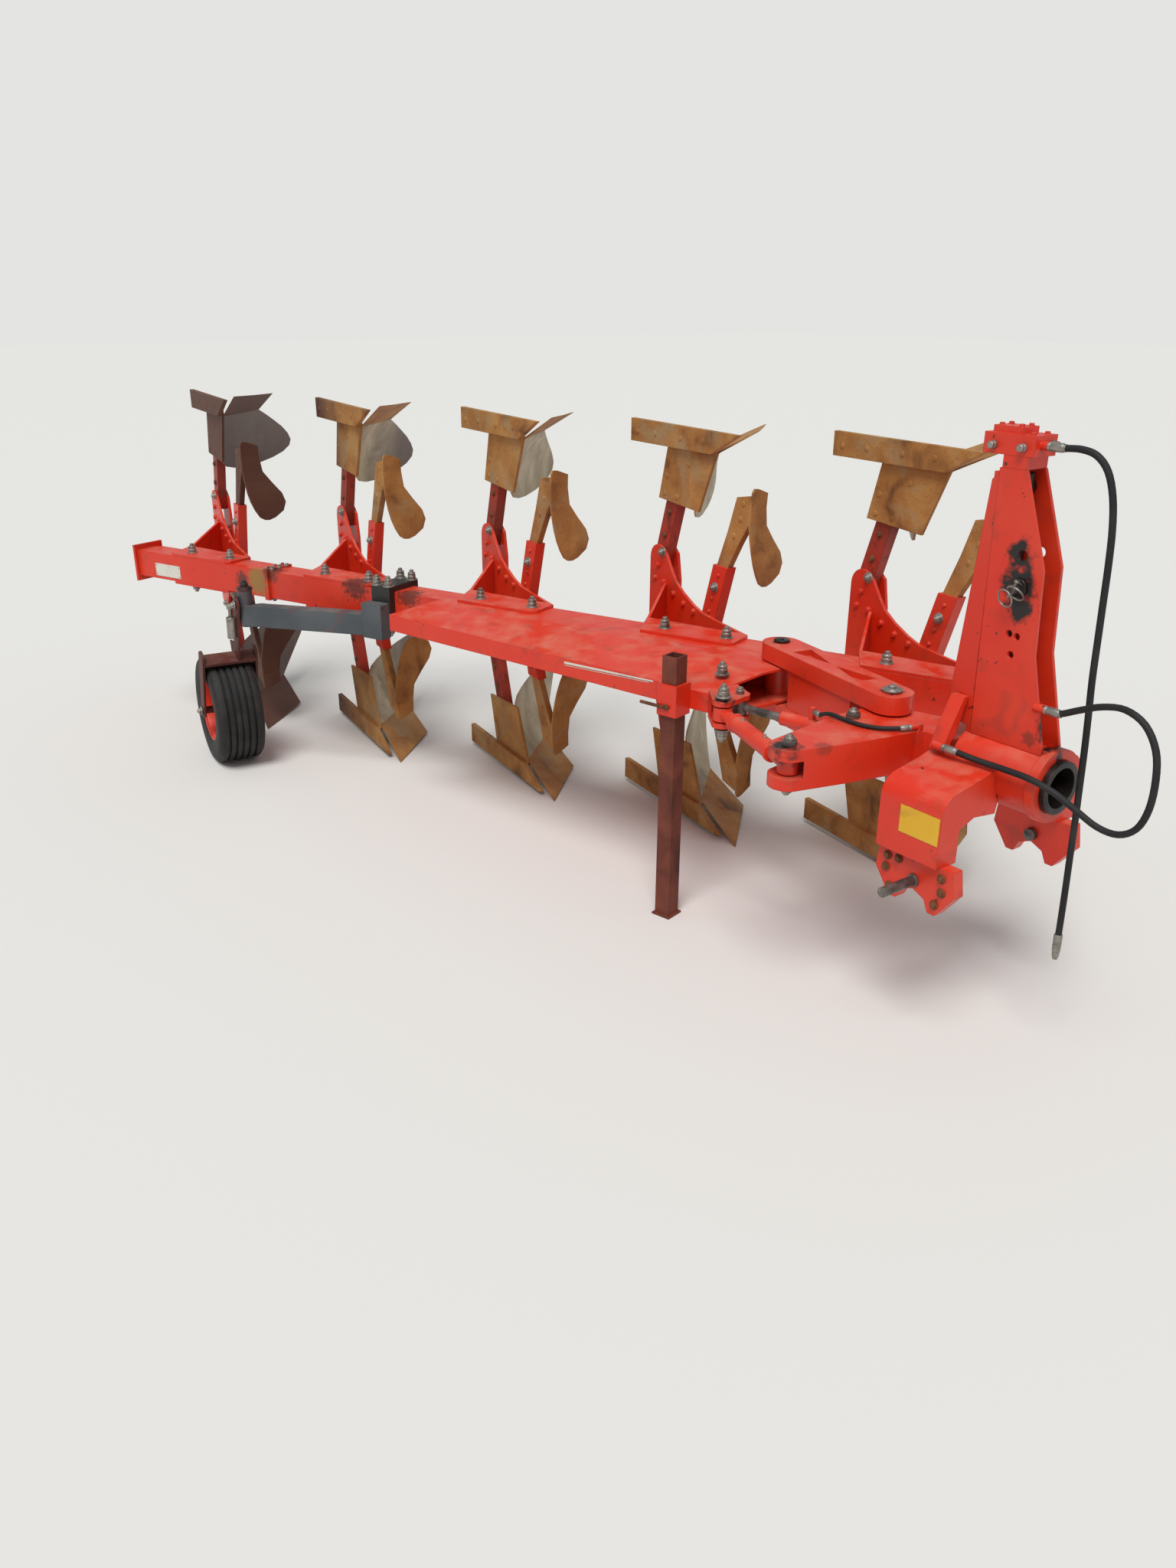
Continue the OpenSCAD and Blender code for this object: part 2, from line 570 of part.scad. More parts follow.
// Turnbuckle and offset cylinder
screw_d = 50;                        // the screws that reach into the two forks
screw_len = 118;
module turnbuckle_tube() color(red) placed() difference() {
    len_ab = norm(fork_pt - flange_pt);
    translate([flange_pt[0], flange_pt[1], 0])
        rotate(atan2(fork_pt[1] - flange_pt[1], fork_pt[0] - flange_pt[0])) {
            rotate([0, 90, 0]) cylinder(d = screw_d, h = len_ab);
            translate([screw_len, 0, 0]) rotate([0, 90, 0]) cylinder(d = 66, h = len_ab - 2 * screw_len);
            for (x = [0, len_ab]) translate([x, 0, -27]) cylinder(r = 38, h = 54);
        }
    for (p = [flange_pt, fork_pt]) translate([p[0], p[1], -60]) cylinder(d = eye_pin_d + 1, h = 120);
}

offset_ang = atan2(offset_box_pt[1] - offset_arm_pt[1], offset_box_pt[0] - offset_arm_pt[0]);
offset_len = norm(offset_box_pt - offset_arm_pt);
barrel_len = 300;
port_at = 170;                       // hose port from the barrel's eye
port_z = 62;                         // height at which the hose leaves it
module on_offset() placed() translate([offset_arm_pt[0], offset_arm_pt[1], 0]) rotate(offset_ang) children();

module offset_barrel() color(red) on_offset() difference() {
    union() {
        translate([30, 0, 0]) rotate([0, 90, 0]) cylinder(d = 56, h = barrel_len - 30);
        translate([0, 0, -27]) cylinder(r = 34, h = 54);
        translate([port_at, 0, 0]) cylinder(d = 26, h = port_z + 12);
    }
    translate([0, 0, -60]) cylinder(d = eye_pin_d + 1, h = 120);
    translate([barrel_len - 120, 0, 0]) rotate([0, 90, 0]) cylinder(d = 33, h = 200);
}

module offset_rod() color(steel) on_offset() difference() {
    union() {
        translate([barrel_len - 60, 0, 0]) rotate([0, 90, 0]) cylinder(d = 32, h = offset_len - barrel_len + 35);
        translate([offset_len, 0, -27]) cylinder(r = 30, h = 54);
    }
    translate([offset_len, 0, -60]) cylinder(d = eye_pin_d + 1, h = 120);
}

// Hoses. Each route's points are x, y, z from the turnover axis
loop_route = [[352.3, -163, 68], [410, -163, 68], [480, -150, 60], [580, -146, 60], [680, -144, 58],
    [770, -136, 38], [848, -122, 0], [920, -111, -33], [987, -103, -36], [1038, -98, 1], [1063, -95, 74],
    [1064, -92, 170], [1045, -88, 255], [995, -82, 320], [920, -72, 345], [840, -62, 330], [760, -54, 295],
    [690, -48, 262], [640.3, -48, 262]];
tractor_route = [[495.3, -20, 1070], [548, -20, 1070], [604, -18, 1072], [656, -15, 1059], [697, -10, 1017],
    [723, -5, 944], [736, 0, 850], [742, 2, 740], [744, 5, 620], [746, 8, 500], [750, 8, 380], [757, 10, 260],
    [763, 12, 140], [768, 12, 20], [772, 14, -100], [775, 15, -220], [779, 15, -340], [782, 15, -460],
    [784, 15, -570]];
offset_route = [[-170, -243, 62], [-145, -253.5, 64.5], [-120, -260, 74], [-95, -264, 83.5], [-70, -265.5, 88],
    [-45, -265, 88], [-20, -263, 86], [18.8, -259, 84], [72.6, -250.8, 83.5], [121.4, -226.9, 84],
    [160.8, -190, 86.5], [179.2, -163.5, 88], [188, -140.1, 88]];
function unit(v) = v / norm(v);
function spline(a, b, c, d, t) = 0.5 * (2 * b + (c - a) * t + (2 * a - 5 * b + 4 * c - d) * t * t
    + (3 * b - a - 3 * c + d) * t * t * t);
function smooth(p, n) = let (last = len(p) - 1) concat(
    [for (k = [0:last - 1], j = [0:n - 1]) spline(p[max(k - 1, 0)], p[k], p[k + 1], p[min(k + 2, last)], j / n)],
    [p[last]]);
module hose(route, d, across, sides = 10) {
    p = smooth(route, 2);
    last = len(p) - 1;
    foot = len(route) - 1;
    rings = [for (k = [0:last]) let (along = unit(k == 0 ? route[1] - route[0]
                : k == last ? route[foot] - route[foot - 1] : p[k + 1] - p[k - 1]),
            u = unit(cross(along, across)), v = cross(along, u))
        [for (j = [0:sides - 1]) p[k] + d / 2 * (cos(360 * j / sides) * u + sin(360 * j / sides) * v)]];
    polyhedron([for (ring = rings) for (q = ring) q],
        concat([[for (j = [0:sides - 1]) j]], [[for (j = [sides - 1:-1:0]) last * sides + j]],
            [for (k = [0:last - 1], j = [0:sides - 1]) let (a = k * sides + j, b = k * sides + (j + 1) % sides)
                for (t = [[a, b + sides, b], [a, a + sides, b + sides]]) t]));
}

module loop_hose() color(dark) placed() hose(loop_route, hose_d, [0, 1, 0]);
module tractor_hose() color(dark) placed() hose(tractor_route, hose_d, [0, 1, 0]);
module offset_hose() color(dark) placed() hose(offset_route, 16, [1, -1, 0]);

// Depth wheel
clamp_u = -2790;
post_d = 76;
swing_pin_d = 36;
axle_d = 40;
carrier_y = -56;                     // far face of the carrier's upper plate from the column's axis
arm_top = -40;
arm_h = 110;
module wheel_clamp() color(dark) on_beam() translate([clamp_u, 0, 0]) difference() {
    translate([-60, -beam_w / 2 - 40, -beam_h / 2 - 30]) cube([120, beam_w + 70, beam_h + 60]);
    translate([-61, -beam_w / 2 - 0.3, -beam_h / 2 - 0.3]) cube([122, beam_w + 0.6, beam_h + 0.6]);
}

module on_column() placed() translate([arm_end[0], arm_end[1], 0]) rotate(body_turn) children();

clamp_xy = station(0) + clamp_u * [cos(beam_ang), sin(beam_ang)]
    + (beam_w / 2 + 40) * [sin(beam_ang), -cos(beam_ang)];
module wheel_arm() color(steel) difference() {
    placed() union() {
        ang = atan2(arm_end[1] - clamp_xy[1], arm_end[0] - clamp_xy[0]);
        length = norm(arm_end - clamp_xy);
        translate([clamp_xy[0], clamp_xy[1], arm_top - arm_h]) rotate(ang)
            translate([62, -40, 0]) cube([length - 62, 80, arm_h]);
        translate([clamp_xy[0], clamp_xy[1], arm_top - arm_h - 8]) rotate(beam_ang)
            translate([-75, -70, 0]) cube([130, 69.7, arm_h + 70]);
        translate([arm_end[0], arm_end[1], arm_top - arm_h - 6]) cylinder(d = post_d, h = arm_h + 86);
    }
    on_column() translate([0, -200, swing_z]) rotate([-90, 0, 0]) cylinder(d = swing_pin_d + 1, h = 400);
}

module on_carrier() on_column() translate([0, 0, swing_z]) rotate([0, carrier_lean, 0]) children();

module wheel_fork() color(brown) on_carrier() {
    side_plate(concat(arc([0, 0], 48, 0, 180, 12), [[-44, -crown_reach - 5], [44, -crown_reach - 5]]),
        carrier_y, fork_t);
    translate([0, carrier_y - 6, 0]) rotate([-90, 0, 0])
        cylinder(d = swing_pin_d, h = post_d / 2 + 14 - carrier_y);
    side = tyre_w / 2 + fork_gap;
    translate([-crown_half, -wheel_right - side - fork_t + 1, -crown_reach - 8])
        cube([2 * crown_half, 2 * (side + fork_t) - 2, 16]);
    for (s = [0, 1]) translate([0, -wheel_right, 0]) mirror([0, s, 0])
        side_plate(concat(arc([0, -crown_reach + 10], crown_half, 20, 160, 8),
            arc([0, -carrier_len], 40, 190, 350, 12)), side, fork_t);
    translate([0, -wheel_right - side - fork_t - 8, -carrier_len]) rotate([-90, 0, 0])
        cylinder(d = axle_d, h = 2 * (side + fork_t + 8));
}

module on_axle() on_column() translate([-wheel_back, -wheel_right, axle_z]) rotate([90, 0, 0]) children();

rim_r = 165;
module wheel_rim() color(steel) on_axle() difference() {
    translate([0, 0, -tyre_w / 2 + 15]) cylinder(r = rim_r, h = tyre_w - 30);
    translate([0, 0, -tyre_w]) cylinder(d = axle_d + 1, h = 2 * tyre_w);
}

module wheel_tyre() color(dark) on_axle() rotate_extrude($fn = 64)
    polygon([[rim_r + 0.3, -tyre_w / 2 + 15], [tyre_shoulder, -tyre_w / 2],
        [tyre_d / 2 - 20, -tyre_w / 2 + 4], [tyre_d / 2, -tyre_w / 2 + 32], [tyre_d / 2, tyre_w / 2 - 32],
        [tyre_d / 2 - 20, tyre_w / 2 - 4], [tyre_shoulder, tyre_w / 2], [rim_r + 0.3, tyre_w / 2 - 15]]);

module upper_legs() legs("upper");
module lower_legs() legs("lower");
module upper_landsides() landsides("upper");
module lower_landsides() landsides("lower");
module upper_moldboards() moldboards("upper");
module lower_moldboards() moldboards("lower");
module upper_shares() shares("upper");
module lower_shares() shares("lower");
module upper_skimmer_holders() skimmer_holders("upper");
module lower_skimmer_holders() skimmer_holders("lower");
module upper_skimmers() skimmers("upper");
module lower_skimmers() skimmers("lower");

axle_housing();
tower();
lower_arms();
hitch_brackets();
hitch_pins();
top_link_pin();
valve_block();
turnover_cylinder();
turnover_rod();
turnover_shaft();
turnover_arm();
arm_pins();
link_arm();
link_pins();
main_beam();
wing_box();
front_bracket();
bracket_pins();
tail_extension();
stand_holder();
stand_leg();
consoles();
upper_legs();
lower_legs();
upper_landsides();
lower_landsides();
upper_moldboards();
lower_moldboards();
upper_shares();
lower_shares();
upper_skimmer_holders();
lower_skimmer_holders();
upper_skimmers();
lower_skimmers();
turnbuckle_tube();
offset_barrel();
offset_rod();
loop_hose();
tractor_hose();
offset_hose();
wheel_clamp();
wheel_arm();
wheel_fork();
wheel_rim();
wheel_tyre();
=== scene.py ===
# %% [markdown]
# # A mounted reversible plough, dressed
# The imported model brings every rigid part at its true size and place. This lesson gives the parts their
# finishes, adds the small hardware and the hoses, and sets up the camera, floor and light. Everything is in
# metres, +X forward to the tractor, +Y to the left, +Z up.

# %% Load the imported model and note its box
import json
import math

import bmesh
import bpy
from mathutils import Matrix, Vector


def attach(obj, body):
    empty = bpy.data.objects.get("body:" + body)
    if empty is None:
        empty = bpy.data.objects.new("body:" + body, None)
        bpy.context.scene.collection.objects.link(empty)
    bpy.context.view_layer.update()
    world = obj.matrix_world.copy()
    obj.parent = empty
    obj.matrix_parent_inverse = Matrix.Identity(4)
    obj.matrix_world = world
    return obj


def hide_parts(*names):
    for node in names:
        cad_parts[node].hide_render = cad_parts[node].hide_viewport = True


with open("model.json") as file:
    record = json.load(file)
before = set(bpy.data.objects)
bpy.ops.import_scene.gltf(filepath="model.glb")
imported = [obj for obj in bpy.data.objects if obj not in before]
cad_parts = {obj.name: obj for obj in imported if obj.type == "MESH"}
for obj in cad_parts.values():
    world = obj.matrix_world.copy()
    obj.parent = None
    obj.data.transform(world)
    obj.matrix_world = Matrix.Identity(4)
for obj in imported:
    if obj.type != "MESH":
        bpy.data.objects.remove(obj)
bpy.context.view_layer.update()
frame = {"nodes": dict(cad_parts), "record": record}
nodes = frame["nodes"]
bpy.ops.object.select_all(action="DESELECT")
bpy.context.scene.view_settings.view_transform = "Standard"

# %% [markdown]
# ## The camera
# The plough is seen from the front right at eye height, from a few metres off. A camera could be aimed at a
# point with a constraint, but its place and angle of view were worked out from the spacing of the five
# bodies, so they are typed in. The rotation is given as three angles: which way the camera faces, how far it
# looks down, and how far it leans.


# %% Set the camera
def bring_in(name, data):
    """Puts an object with this data into the scene."""
    obj = bpy.data.objects.new(name, data)
    bpy.context.scene.collection.objects.link(obj)
    return obj


PHOTO_WIDTH = 1536
FOCAL_PIXELS = 1560
SENSOR_MM = 36
HEADING = math.radians(144.24)
DIP = math.radians(22.37)
LEAN = math.radians(0.31)
camera_data = bpy.data.cameras.new("eye")
camera_data.sensor_fit = "HORIZONTAL"
camera_data.sensor_width = SENSOR_MM
camera_data.lens = SENSOR_MM * FOCAL_PIXELS / PHOTO_WIDTH
camera = bring_in("eye", camera_data)
camera.location = (4.9158, -3.3463, 2.466)
camera.rotation_euler = (
    Matrix.Rotation(HEADING - math.pi / 2, 3, "Z")
    @ Matrix.Rotation(math.pi / 2 - DIP, 3, "X")
    @ Matrix.Rotation(LEAN, 3, "Z")
).to_euler()
bpy.context.scene.camera = camera
print("lens", round(camera_data.lens, 2), "mm")

# %% [markdown]
# ## Where the hoses run
# Three hydraulic hoses hang on the plough. Each follows the route that the part's source gives it, in
# millimetres from the turnover axis, so the turnover joint's place carries them into the model. A hose could
# be a swept mesh, but a curve keeps its length and its thickness as plain numbers. A smooth line goes
# through the points of a route, and the line's length is the hose's.

# %% Routes from the turnover axis
AXIS = Vector(frame["record"]["behaviour"]["joints"][0]["pos_m"])
LOOP_ROUTE = [
    (352.3, -163, 68), (410, -163, 68), (480, -150, 60), (580, -146, 60), (680, -144, 58), (770, -136, 38),
    (848, -122, 0), (920, -111, -33), (987, -103, -36), (1038, -98, 1), (1063, -95, 74), (1064, -92, 170),
    (1045, -88, 255), (995, -82, 320), (920, -72, 345), (840, -62, 330), (760, -54, 295), (690, -48, 262),
    (640.3, -48, 262),
]
TRACTOR_ROUTE = [
    (495.3, -20, 1070), (548, -20, 1070), (604, -18, 1072), (656, -15, 1059), (697, -10, 1017),
    (723, -5, 944), (736, 0, 850), (742, 2, 740), (744, 5, 620), (746, 8, 500), (750, 8, 380),
    (757, 10, 260), (763, 12, 140), (768, 12, 20), (772, 14, -100), (775, 15, -220), (779, 15, -340),
    (782, 15, -460), (784, 15, -570),
]
OFFSET_ROUTE = [
    (-170, -243, 62), (-145, -253.5, 64.5), (-120, -260, 74), (-95, -264, 83.5), (-70, -265.5, 88),
    (-45, -265, 88), (-20, -263, 86), (18.8, -259, 84), (72.6, -250.8, 83.5), (121.4, -226.9, 84),
    (160.8, -190, 86.5), (179.2, -163.5, 88), (188, -140.1, 88),
]
STEPS_PER_STRETCH = 4


def place(x, y, z):
    """Millimetres from the turnover axis to metres in the model."""
    return AXIS + Vector((x, y, z)) / 1000


def smooth_path(route):
    """Points of a Catmull-Rom curve, which goes through every point of the route."""
    points = [place(*p) for p in route]
    padded = [points[0], *points, points[-1]]
    path = []
    for a, b, c, d in zip(padded, padded[1:], padded[2:], padded[3:]):
        for k in range(STEPS_PER_STRETCH):
            t = k / STEPS_PER_STRETCH
            path.append(0.5 * (2 * b + (c - a) * t + (2 * a - 5 * b + 4 * c - d) * t * t
                               + (3 * b - a - 3 * c + d) * t ** 3))
    return [*path, points[-1]]


def hose(name, route, diameter, body, replaced):
    """A round hose along a route, a curve of its own length."""
    path = smooth_path(route)
    data = bpy.data.curves.new(name, "CURVE")
    data.dimensions = "3D"
    # The box of a curve counts each point's radius, so the thickness is given there and the bevel is 1.
    data.bevel_depth = 1.0
    data.bevel_resolution = 3
    data.use_fill_caps = True
    spline = data.splines.new("POLY")
    spline.points.add(len(path) - 1)
    for point, spot in zip(spline.points, path):
        point.co = (*spot, 1)
        point.radius = diameter / 2
    obj = bring_in(name, data)
    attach(obj, body)
    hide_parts(replaced)
    return obj


# %% [markdown]
# ## Places on the plough
# Most fasteners repeat from body to body, and the bodies stand in echelon along a slanting beam. Each place
# could be typed in the model's own metres, but a real drawing measures from the body, from the beam or from
# the wheel's column. So small functions turn such a place, in millimetres, into a point of the model and the
# way that a bolt there faces.

# %% Frames that the fasteners are placed in
BODY_PITCH = 960
FURROW = 400
STEP = math.hypot(FURROW, BODY_PITCH)
FIRST_BODY = Vector((-249, 460, 0))
COLUMN = Vector((-3375, -1222, 0))
BODY_TURN = Matrix.Rotation(math.radians(-7), 3, "Z")
BEAM_TURN = Matrix.Rotation(math.atan2(FURROW, BODY_PITCH), 3, "Z")
UP = (0, 0, 1)
DOWN = (0, 0, -1)
FORWARD = (1, 0, 0)
LEFT = (0, 1, 0)
RIGHT = (0, -1, 0)


def on_body(i, level, x, y, z):
    """A point of body i, and the way its right side faces; level -1 mirrors the point below the beam."""
    station = FIRST_BODY - i * Vector((BODY_PITCH, FURROW, 0))
    return place(*(station + BODY_TURN @ Vector((x, y, level * z)))), BODY_TURN @ Vector(RIGHT)


def on_beam(u, v, z, facing=UP):
    """A point u along the beam from the first body, v across it and z above its middle."""
    return place(*(FIRST_BODY + BEAM_TURN @ Vector((u, v, z)))), BEAM_TURN @ Vector(facing)


def on_column(x, y, z, facing=UP):
    """A point measured from the column that the depth wheel swings on."""
    return place(*(COLUMN + BODY_TURN @ Vector((x, y, z)))), BODY_TURN @ Vector(facing)


def both_faces(spot, height):
    """The upper and the lower face over a pin's middle."""
    return [(place(*spot, height), UP), (place(*spot, -height), DOWN)]


print("from body to body", round(STEP), "mm along the beam")

# %% [markdown]
# ## Fasteners
# A bolt head, washer or lock nut is turned or forged in short round and six-sided lengths. It could be cut
# from one block with booleans, but a stack of bevelled slices has clean edges and few faces. Each slice
# starts as a cylinder at its own size and height, and the slices are joined. A pattern is modelled once at
# the origin, and every place then gets its own copy of the mesh.


# %% Build a pattern from slices and set copies of it
def select_only(obj):
    """Operators act on all that is selected, so everything else is let go first."""
    bpy.ops.object.select_all(action="DESELECT")
    obj.select_set(True)
    bpy.context.view_layer.objects.active = obj


def stacked(name, slices):
    """A pattern on the Z axis. Columns: sides, then radius, foot, top and bevel in millimetres."""
    parts = []
    for sides, radius, foot, top, edge in slices:
        bpy.ops.mesh.primitive_cylinder_add(vertices=sides, radius=radius / 1000, depth=(top - foot) / 1000,
                                            location=(0, 0, (foot + top) / 2000))
        part = bpy.context.object
        bevel = part.modifiers.new("edge", "BEVEL")
        bevel.width = edge / 1000
        bevel.segments = 2 if sides > 6 else 1
        bpy.ops.object.modifier_apply(modifier="edge")
        parts.append(part)
    select_only(parts[0])
    for part in parts:
        part.select_set(True)
    bpy.ops.object.join()
    bpy.ops.object.transform_apply(location=True, rotation=True, scale=True)
    pattern = bpy.context.object
    mesh = pattern.data
    mesh.name = name
    bpy.data.objects.remove(pattern)
    return mesh


SMOOTH_UNDER = math.radians(35)
dressed = []


def set_copies(name, pattern, spots, body, finish):
    """One piece with a copy of the pattern at each spot, a point and the way that its top faces."""
    joined = bmesh.new()
    for point, way in spots:
        first_new = len(joined.verts)
        joined.from_mesh(pattern)
        joined.verts.ensure_lookup_table()
        turn = Vector(way).to_track_quat("Z", "Y").to_matrix().to_4x4()
        bmesh.ops.transform(joined, matrix=Matrix.Translation(point) @ turn, verts=joined.verts[first_new:])
    mesh = bpy.data.meshes.new(name)
    joined.to_mesh(mesh)
    joined.free()
    obj = bring_in(name, mesh)
    select_only(obj)
    bpy.ops.object.shade_smooth_by_angle(angle=SMOOTH_UNDER)
    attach(obj, body)
    dressed.append((obj, finish))
    print(name, len(spots), "copies,", len(mesh.polygons), "faces")
    return obj


BASE_NUT = stacked("base_nut", [(24, 30, -2, 5, 1), (6, 24, 5, 25, 2), (6, 22, 26, 38, 2),
                                (16, 11, 36, 52, 2)])
BIG_BOLT = stacked("big_bolt", [(20, 25, -2, 4, 1), (6, 19, 4, 17, 2), (14, 9, 15, 24, 1)])
BOLT = stacked("bolt", [(16, 17, -2, 3, 1), (6, 13, 3, 12, 1.5)])
SMALL_BOLT = stacked("small_bolt", [(14, 11, -2, 2, 0.5), (6, 8.5, 2, 8, 1)])
PLOUGH_BOLT = stacked("plough_bolt", [(16, 13, -3, 2.5, 1.5)])

# %% [markdown]
# ## Bolts of the bodies and the beam
# Tall nuts with a second nut on top hold the base plates to the tube. A leg pivots on a big bolt in the
# cheek with a shear bolt beside it, and domed plough bolts hold the landside and the skimmer. Ten bodies
# could each have their own bolts modelled, but a table of holes for one body, run through all ten, stays
# short and can't drift.

# %% Nuts, pivot bolts and plough bolts
BASE_PLATE_FACE = 89
CHEEK_FACE = 176
LEG_FACE = 190.4
HOLDER_FACE = 190.3
LANDSIDE_FACE = 152
SKIMMER_FACE = 200.6
# Name, pattern, distance of the face from the body's middle plane, holes as (x, z), finish.
BODY_FASTENERS = [
    ("pivot_bolts", BIG_BOLT, CHEEK_FACE, [(-577, 334)], "zinc"),
    ("cheek_bolts", BOLT, CHEEK_FACE,
     [(-618, 262), (-640, 196), (-560, 190), (-470, 150), (-380, 120), (-290, 100)], "red"),
    ("leg_bolts", BOLT, LEG_FACE, [(-583, 415), (-548, 530)], "brown"),
    ("holder_bolts", BIG_BOLT, HOLDER_FACE, [(-143, 245)], "zinc"),
    ("holder_screws", SMALL_BOLT, HOLDER_FACE, [(-160, 192), (-121, 305), (-182, 125)], "red"),
    ("frog_bolts", PLOUGH_BOLT, CHEEK_FACE, [(-575, 618), (-560, 700), (-470, 610), (-380, 770)], "rust"),
    ("landside_bolts", PLOUGH_BOLT, LANDSIDE_FACE,
     [(-800, 880), (-640, 885), (-420, 885), (-230, 890)], "rust"),
    ("skimmer_bolts", PLOUGH_BOLT, SKIMMER_FACE, [(-30, 500), (14, 580), (30, 650)], "rust"),
]
every_body = [(i, level) for i in range(5) for level in (1, -1)]
base_spots = [on_beam(u - i * STEP, 0, level * BASE_PLATE_FACE, (0, 0, level))
              for i, level in every_body for u in (-160, 150)]
set_copies("base_nuts", BASE_NUT, base_spots, "beam", "zinc")
for name, pattern, face, holes, finish in BODY_FASTENERS:
    spots = [on_body(i, level, x, face, z) for i, level in every_body for x, z in holes]
    set_copies(name, pattern, spots, "beam", finish)

# %% [markdown]
# ## Pins, caps and nuts of the linkage
# The link, the turnbuckle and the offset cylinder swing on greased pins, closed by caps and nuts above and
# below. Each pin's place is named once, and the hardware on it is set from there, so nothing floats off its
# pin. The turnbuckle's collars and grease nipples are measured along its own line.

# %% Link, turnbuckle and bracket hardware
LINK_FRONT_PIN = (0, -30)
LINK_REAR_PIN = (-720, 110)
ARM_END_PIN = (40, -585)
BARREL_PIN = (-30, -195)
BRACKET_PIN = (-500, -405)
CAP = stacked("cap", [(32, 38, -2, 6, 2), (24, 30, 6, 9, 1), (6, 16, 9, 20, 2)])
FLAT_CAP = stacked("flat_cap", [(32, 34, -2, 7, 2), (16, 10, 7, 11, 1)])
END_NUT = stacked("end_nut", [(6, 20, -2, 12, 2), (16, 11, 10, 20, 2)])
set_copies("link_front_caps", CAP, both_faces(LINK_FRONT_PIN, 156), "link", "zinc")
set_copies("link_rear_caps", FLAT_CAP, both_faces(LINK_REAR_PIN, 156), "link", "grease")
set_copies("arm_end_nuts", END_NUT, both_faces(ARM_END_PIN, 92) + both_faces(BARREL_PIN, 92),
           "turnover", "zinc")
set_copies("bracket_nuts", BASE_NUT, both_faces(BRACKET_PIN, 66) + [(place(-705, -231, 75), UP)],
           "beam", "zinc")
set_copies("bracket_small_nuts", BOLT, both_faces((-520, -300), 68), "beam", "zinc")

# %% Collars and grease nipples along the turnbuckle
COLLAR = stacked("collar", [(32, 38, -8, 8, 3)])
GREASE_NIPPLE = stacked("grease_nipple", [(6, 7, -2, 5, 1), (12, 4, 5, 14, 1)])
NIPPLE_HEIGHT = Vector((0, 0, 32))
tube_foot = Vector((*BRACKET_PIN, 0))
tube_line = Vector((*ARM_END_PIN, 0)) - tube_foot
tube_way = tube_line.normalized()
tube_span = math.hypot(*tube_line)
collar_spots = [(place(*(tube_foot + tube_way * s)), tube_way) for s in (126, tube_span - 126)]
set_copies("turnbuckle_collars", COLLAR, collar_spots, "turnbuckle", "red")
nipple_spots = [(place(*(tube_foot + tube_way * s + NIPPLE_HEIGHT)), UP) for s in (190, tube_span - 190)]
set_copies("turnbuckle_nipples", GREASE_NIPPLE, nipple_spots, "turnbuckle", "zinc")

# %% [markdown]
# ## Headstock hardware
# The top link pin carries washers and a lynch pin with its wire rings. Domed bolts hold the hitch brackets,
# and the valve block has cap screws on top and unions on its sides. They are stacks like the others. Only
# the rings start from a torus, because a wire bent into a ring is one.

# %% Top link pin and hitch brackets
TOP_PIN_X = 480
TOP_PIN_Z = 630
HITCH_X = 442
HITCH_FACE = 355
PIN_WASHER = stacked("pin_washer", [(32, 34, -1, 8, 2), (24, 24, 8, 14, 2)])
LYNCH = stacked("lynch_pin", [(12, 4.5, -34, 30, 1), (14, 9, 26, 34, 2)])
DOME = stacked("dome", [(18, 17, -2, 5, 3), (6, 12, 5, 14, 2)])
BRACKET_HOLES = [(-118, -295), (-122, -340), (-70, -290), (112, -295), (118, -345), (96, -398), (-98, -405)]
set_copies("top_pin_washers", PIN_WASHER,
           [(place(TOP_PIN_X, -54, TOP_PIN_Z), RIGHT), (place(TOP_PIN_X, 54, TOP_PIN_Z), LEFT)],
           "headstock", "grease")
set_copies("lynch_pin", LYNCH, [(place(TOP_PIN_X, -84, TOP_PIN_Z), (0.45, 0, 1))], "headstock", "zinc")
bpy.ops.mesh.primitive_torus_add(major_radius=0.030, minor_radius=0.003, major_segments=32, minor_segments=8)
ring_mesh = bpy.context.object.data
bpy.data.objects.remove(bpy.context.object)
ring_spots = [(place(466, -96, 600), (0.2, 1, 0.3)), (place(500, -94, 622), (0.1, 1, 0.8))]
set_copies("lynch_ring", ring_mesh, ring_spots, "headstock", "zinc")
dome_spots = [(place(HITCH_X + x, side * HITCH_FACE, z), (0, side, 0))
              for x, z in BRACKET_HOLES for side in (1, -1)]
set_copies("bracket_bolts", DOME, dome_spots, "headstock", "brown")

# %% Screws, unions and sleeves where the hoses end
UNION = stacked("union", [(6, 15, -2, 12, 2), (20, 12, 12, 24, 2)])
SLEEVE = stacked("sleeve", [(6, 15, -6, 8, 2), (24, 14.5, 8, 52, 3), (24, 12.5, 50, 60, 2)])
SMALL_SLEEVE = stacked("small_sleeve", [(6, 12, -6, 7, 1.5), (20, 11, 7, 36, 2), (20, 9.5, 35, 42, 1.5)])
COUPLER = stacked("coupler", [(24, 14.5, -52, 0, 3), (6, 16, 0, 14, 2), (24, 12, 14, 34, 2),
                              (24, 9, 34, 44, 2)])
BLOCK_SCREWS = [(318, -24, 1121), (318, 24, 1121), (392, -24, 1121), (392, 24, 1121), (445, -36, 1100),
                (445, 36, 1100)]
set_copies("block_screws", SMALL_BOLT, [(place(*spot), UP) for spot in BLOCK_SCREWS], "headstock", "red")
set_copies("block_unions", UNION, [(place(320, -55, 1062), RIGHT), (place(430, -55, 1062), RIGHT),
                                   (place(470, 30, 1070), FORWARD), (place(320, 55, 1062), LEFT)],
           "headstock", "zinc")
set_copies("hose_sleeves", SLEEVE,
           [(place(*end), FORWARD) for end in (LOOP_ROUTE[0], LOOP_ROUTE[-1], TRACTOR_ROUTE[0])],
           "headstock", "zinc")
